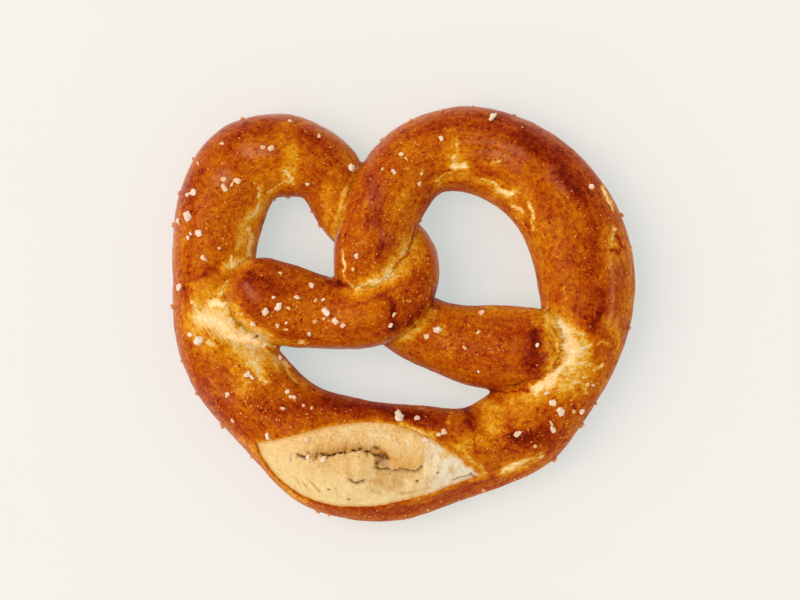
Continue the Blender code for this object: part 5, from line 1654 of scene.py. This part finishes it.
def points_object(name, places):
    """An object of single points, each with the way out of the crust, a size and a glaze."""
    glaze = random.Random(GLAZE_SEED)
    mesh = bpy.data.meshes.new(name)
    shift = Vector(into_frame)
    mesh.from_pydata([(place + normal * (0.5 - SALT_SINK) * GRAIN_THICKNESS * size + shift) * MM
                      for place, normal, size, _ in places], [], [])
    made = add_object(name, mesh)
    sizes = np.array([size for _, _, size, _ in places])
    covered = np.array([covered for _, _, _, covered in places])
    thin_glaze = np.array([glaze.uniform(0.0, MOST_GLAZE) for _ in places])
    thin_glaze *= np.maximum(0.0, UNGLAZED_SIZE - sizes)
    store(made, "way_out", np.array([normal for _, normal, _, _ in places]))
    store(made, "size", sizes * MM)
    store(made, "covered", np.clip(np.maximum(BAKED_OVER * covered, thin_glaze), 0.0, COVER_LIMIT))
    store(made, "brown", np.where(covered > 0.5, SIDE_SALT_BROWN, TOP_SALT_BROWN))
    return made


salt = grow(points_object("salt", grains), salt_tree, "salt", {
    "Sides": 6, "Roundness": 0.82, "Flatness": 0.62, "Chips": 1.0, "Seed": SALT_SEED,
    "Finish": salt_finish,
})
salt.data.shade_smooth()
report(salt)

# %% [markdown]
# ## Blisters
#
# Lye and heat raise tiny blisters on the skin, and fine salt melts into it. They lie in drifts, and
# bake lighter than the skin round them because they are thin. Modelling hundreds by hand is out of
# the question, so a Geometry Nodes tree scatters them by a density that is stored on the crust,
# and each takes its browning from the skin where it sits.

# %% Where the drifts are: a name, x, y, reach along and across, turn and how dense
DRIFTS = (
    ("strand above the crossing", -4.0, 29.0, 13.0, 17.0, -15.0, 1.0),
    ("twist", 4.0, 4.5, 9.0, 10.0, 0.0, 0.9),
    ("left arm", -34.0, -1.5, 12.0, 8.0, 0.0, 0.9),
    ("left loop, lower side", -49.0, -31.0, 15.0, 11.0, -35.0, 1.0),
    ("belly, upper left", -28.0, -35.0, 15.0, 4.0, -14.0, 0.6),
    ("left loop", -63.0, 42.0, 12.0, 18.0, -25.0, 0.55),
    ("left loop's top", -30.0, 56.0, 12.0, 8.0, -25.0, 0.5),
    ("right loop's top", 5.0, 54.0, 10.0, 8.0, 20.0, 0.8),
    ("under the right tip", 40.0, -44.0, 9.0, 6.0, 25.0, 0.9),
    ("lower right", 58.0, -34.0, 8.0, 10.0, -38.0, 0.5),
    ("right loop, right side", 70.0, 35.0, 6.0, 16.0, 15.0, 0.4),
    ("right loop", 57.0, 42.0, 9.0, 9.0, 0.0, 0.35),
    ("right arm", 27.0, -13.0, 14.0, 7.0, -15.0, 0.35),
    ("split's lower lip", -8.0, -71.0, 34.0, 3.5, 4.0, 0.5),
)
SPARSE = 0.06  # how dense the blisters are outside the drifts
BLISTER_SEED = 23

crust_normals = read_normals(crust)
drift = np.full(len(points), SPARSE)
for _, x, y, reach_x, reach_y, turn, dense in DRIFTS:
    drift = np.maximum(drift, dense * near_spot(points, x, y, reach_x, reach_y, turn))
drift *= ease(0.0, 0.3, crust_normals[:, 2]) * ease(0.0, -0.8, depth) * (1.0 - ease(0.2, 0.6, stretched))
drift *= ease(0.3, 1.6, next_strand)
store(crust, "drift", drift)
print("share of the skin in a drift:", round(float((drift > 0.3).mean()), 2))

# %% The tree that scatters the blisters
FLATTEST, ROUNDEST = (0.6, 0.6, 0.35), (1.3, 1.0, 0.6)  # a blister's sides, as shares of its radius

tree, given, made = geometry_tree("raise_blisters", {
    "Most": "Float", "Smallest": "Float", "Largest": "Float", "Lighter": "Float", "Seed": "Int",
    "Finish": "Material",
})
setup = {"data_type": "FLOAT"}
drift_there = result(add_node(tree, "GeometryNodeInputNamedAttribute", "drift", setup=setup))
brown_there = result(add_node(tree, "GeometryNodeInputNamedAttribute", "brown", setup=setup))
density = sums(tree, "MULTIPLY", drift_there, given["Most"])
scattered = add_node(tree, "GeometryNodeDistributePointsOnFaces", Mesh=given["Mesh"],
                     Density=density, Seed=given["Seed"], setup={"distribute_method": "RANDOM"})
chance = result(add_node(tree, "FunctionNodeRandomValue", setup=setup, Min=0.0, Max=1.0,
                         Seed=given["Seed"]))
lighter = sums(tree, "MULTIPLY_ADD", chance, 0.8, 0.6)
lighter = sums(tree, "MULTIPLY", lighter, given["Lighter"])
setup = {"data_type": "FLOAT", "domain": "POINT"}
toned = result(scattered, "Points")
cream = sums(tree, "MULTIPLY", fade(tree, chance, 0.82, 1.0), 0.7)
browned = sums(tree, "SUBTRACT", brown_there, lighter, clamp=True)
for name, value in (("brown", browned), ("cream", cream)):
    toned = result(add_node(tree, "GeometryNodeStoreNamedAttribute", toned, Name=name,
                            Value=value, setup=setup))
dome = add_node(tree, "GeometryNodeMeshIcoSphere", Radius=1.0, Subdivisions=1)
shape = {"data_type": "FLOAT_VECTOR"}
squash = add_node(tree, "FunctionNodeRandomValue", setup=shape, Min=FLATTEST, Max=ROUNDEST,
                  Seed=given["Seed"])
spread = sums(tree, "SUBTRACT", given["Largest"], given["Smallest"])
rare = sums(tree, "POWER", chance, 4.0)
radius = sums(tree, "MULTIPLY_ADD", rare, spread, given["Smallest"])
blisters = add_node(tree, "GeometryNodeInstanceOnPoints", Points=toned,
                    Instance=result(dome, "Mesh"), Rotation=result(scattered, "Rotation"),
                    Scale=vector_sums(tree, "SCALE", result(squash), Scale=radius))
realized = add_node(tree, "GeometryNodeRealizeInstances", result(blisters))
smooth = add_node(tree, "GeometryNodeSetShadeSmooth", result(realized))
finished = add_node(tree, "GeometryNodeSetMaterial", result(smooth), Material=given["Finish"])
tree.links.new(result(finished), made["Mesh"])
blister_tree = tree
print("nodes in the blisters' tree:", len(tree.nodes))

# %% Raise the blisters on a copy of the crust
blister = grow(add_object("blister", crust.data.copy()), blister_tree, "blisters", {
    "Most": 0.8 / MM**2, "Smallest": 0.11 * MM, "Largest": 0.42 * MM, "Lighter": 0.26,
    "Seed": BLISTER_SEED, "Finish": blister_finish,
})
report(blister)

# %% [markdown]
# ## The table and the light
#
# The pretzel lies on a seamless pale table. The light is a white room: bright all round the
# horizon and dark overhead, so that only the rounded sides of the crust mirror it, and the crests
# stay deep in colour. One large soft lamp on the upper left gives the shade a direction.

# %% Floor, room and lamp
FLOOR_SIZE = 9.0
TABLE_GLOW = 0.51  # a light table: it keeps the shade under the pretzel thin and free of orange
floor_mesh = bpy.data.meshes.new("table")
corners = [(x * FLOOR_SIZE / 2, y * FLOOR_SIZE / 2, 0.0) for x, y in ((-1, -1), (1, -1), (1, 1), (-1, 1))]
floor_mesh.from_pydata(corners, [], [(0, 1, 2, 3)])
floor = add_object("table", floor_mesh)
material, nodes, shader, place = new_material("pale_table")
tabletop = blend(nodes, fuzz(nodes, place, 60.0, 2.0), paint(193, 161, 152), paint(195, 163, 154))
plug_into(nodes, shader, Base_Color=tabletop, Emission_Color=paint(219, 255, 255),
          Emission_Strength=TABLE_GLOW, Roughness=0.9, Specular_IOR_Level=0.1)
floor_mesh.materials.append(material)

HORIZON, ZENITH = 0.98, 0.58
HORIZON_ENDS = (0.30, 0.80)  # between these heights the white room turns dark
world = bpy.data.worlds.new("white_room")
world.use_nodes = True
room = world.node_tree
room.nodes.clear()
direction = result(add_node(room, "ShaderNodeTexCoord"), "Generated")
upness = result(add_node(room, "ShaderNodeSeparateXYZ", direction), "Z")
light = sums(room, "MULTIPLY_ADD", fade(room, upness, *HORIZON_ENDS), ZENITH - HORIZON, HORIZON)
glow = add_node(room, "ShaderNodeBackground", paint(253, 252, 251), light)
sky = room.nodes.new("ShaderNodeOutputWorld")
room.links.new(result(glow), sky.inputs["Surface"])
bpy.context.scene.world = world

LAMP_PLACE = Vector((-1.75, 0.15, 2.3))
LAMP_SIZE = 2.4
LAMP_POWER = 44.0
lamp_data = bpy.data.lights.new("softbox", "AREA")
lamp_data.shape = "SQUARE"
lamp_data.size = LAMP_SIZE
lamp_data.energy = LAMP_POWER
lamp_data.color = paint(255, 253, 250)[:3]
lamp = add_object("softbox", lamp_data)
lamp.location = LAMP_PLACE
lamp.rotation_euler = LAMP_PLACE.to_track_quat("Z", "Y").to_euler()
print("lamp's distance in m:", round(LAMP_PLACE.length, 2))

# %% The camera, straight above
PIXEL = 0.357  # millimetres of pretzel that one pixel of the photograph shows
IMAGE_WIDTH, IMAGE_HEIGHT = 800, 600
PRETZEL_PIXEL = (403.0, 313.5)  # where the rope's own origin is in the photograph
CAMERA_HEIGHT = 1600.0
SENSOR = 36.0
MIDDLE_HEIGHT = 12.0  # a pixel shows that much at this height

camera_data = bpy.data.cameras.new("overhead")
camera_data.sensor_width = SENSOR
camera_data.lens = SENSOR * (CAMERA_HEIGHT - MIDDLE_HEIGHT) / (IMAGE_WIDTH * PIXEL)
camera = add_object("overhead", camera_data)
camera.location = (
    ((IMAGE_WIDTH / 2 - PRETZEL_PIXEL[0]) * PIXEL + into_frame[0]) * MM,
    ((PRETZEL_PIXEL[1] - IMAGE_HEIGHT / 2) * PIXEL + into_frame[1]) * MM,
    CAMERA_HEIGHT * MM,
)
bpy.context.scene.camera = camera
bpy.context.scene.view_settings.view_transform = "Standard"
print("lens in mm:", round(camera_data.lens, 1))

# %% [markdown]
# ## On the body
#
# Every piece rides on the one body, and the measured solid, which is bread, crumb and salt together,
# is hidden.

# %% Put each piece on the body, and hide the measured solid
bpy.data.objects.remove(bread)
for piece, finish in ((crust, "crust"), (blister, "crust"), (crumb, "crumb"), (salt, "salt")):
    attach(piece, "root")
    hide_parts("pretzel")
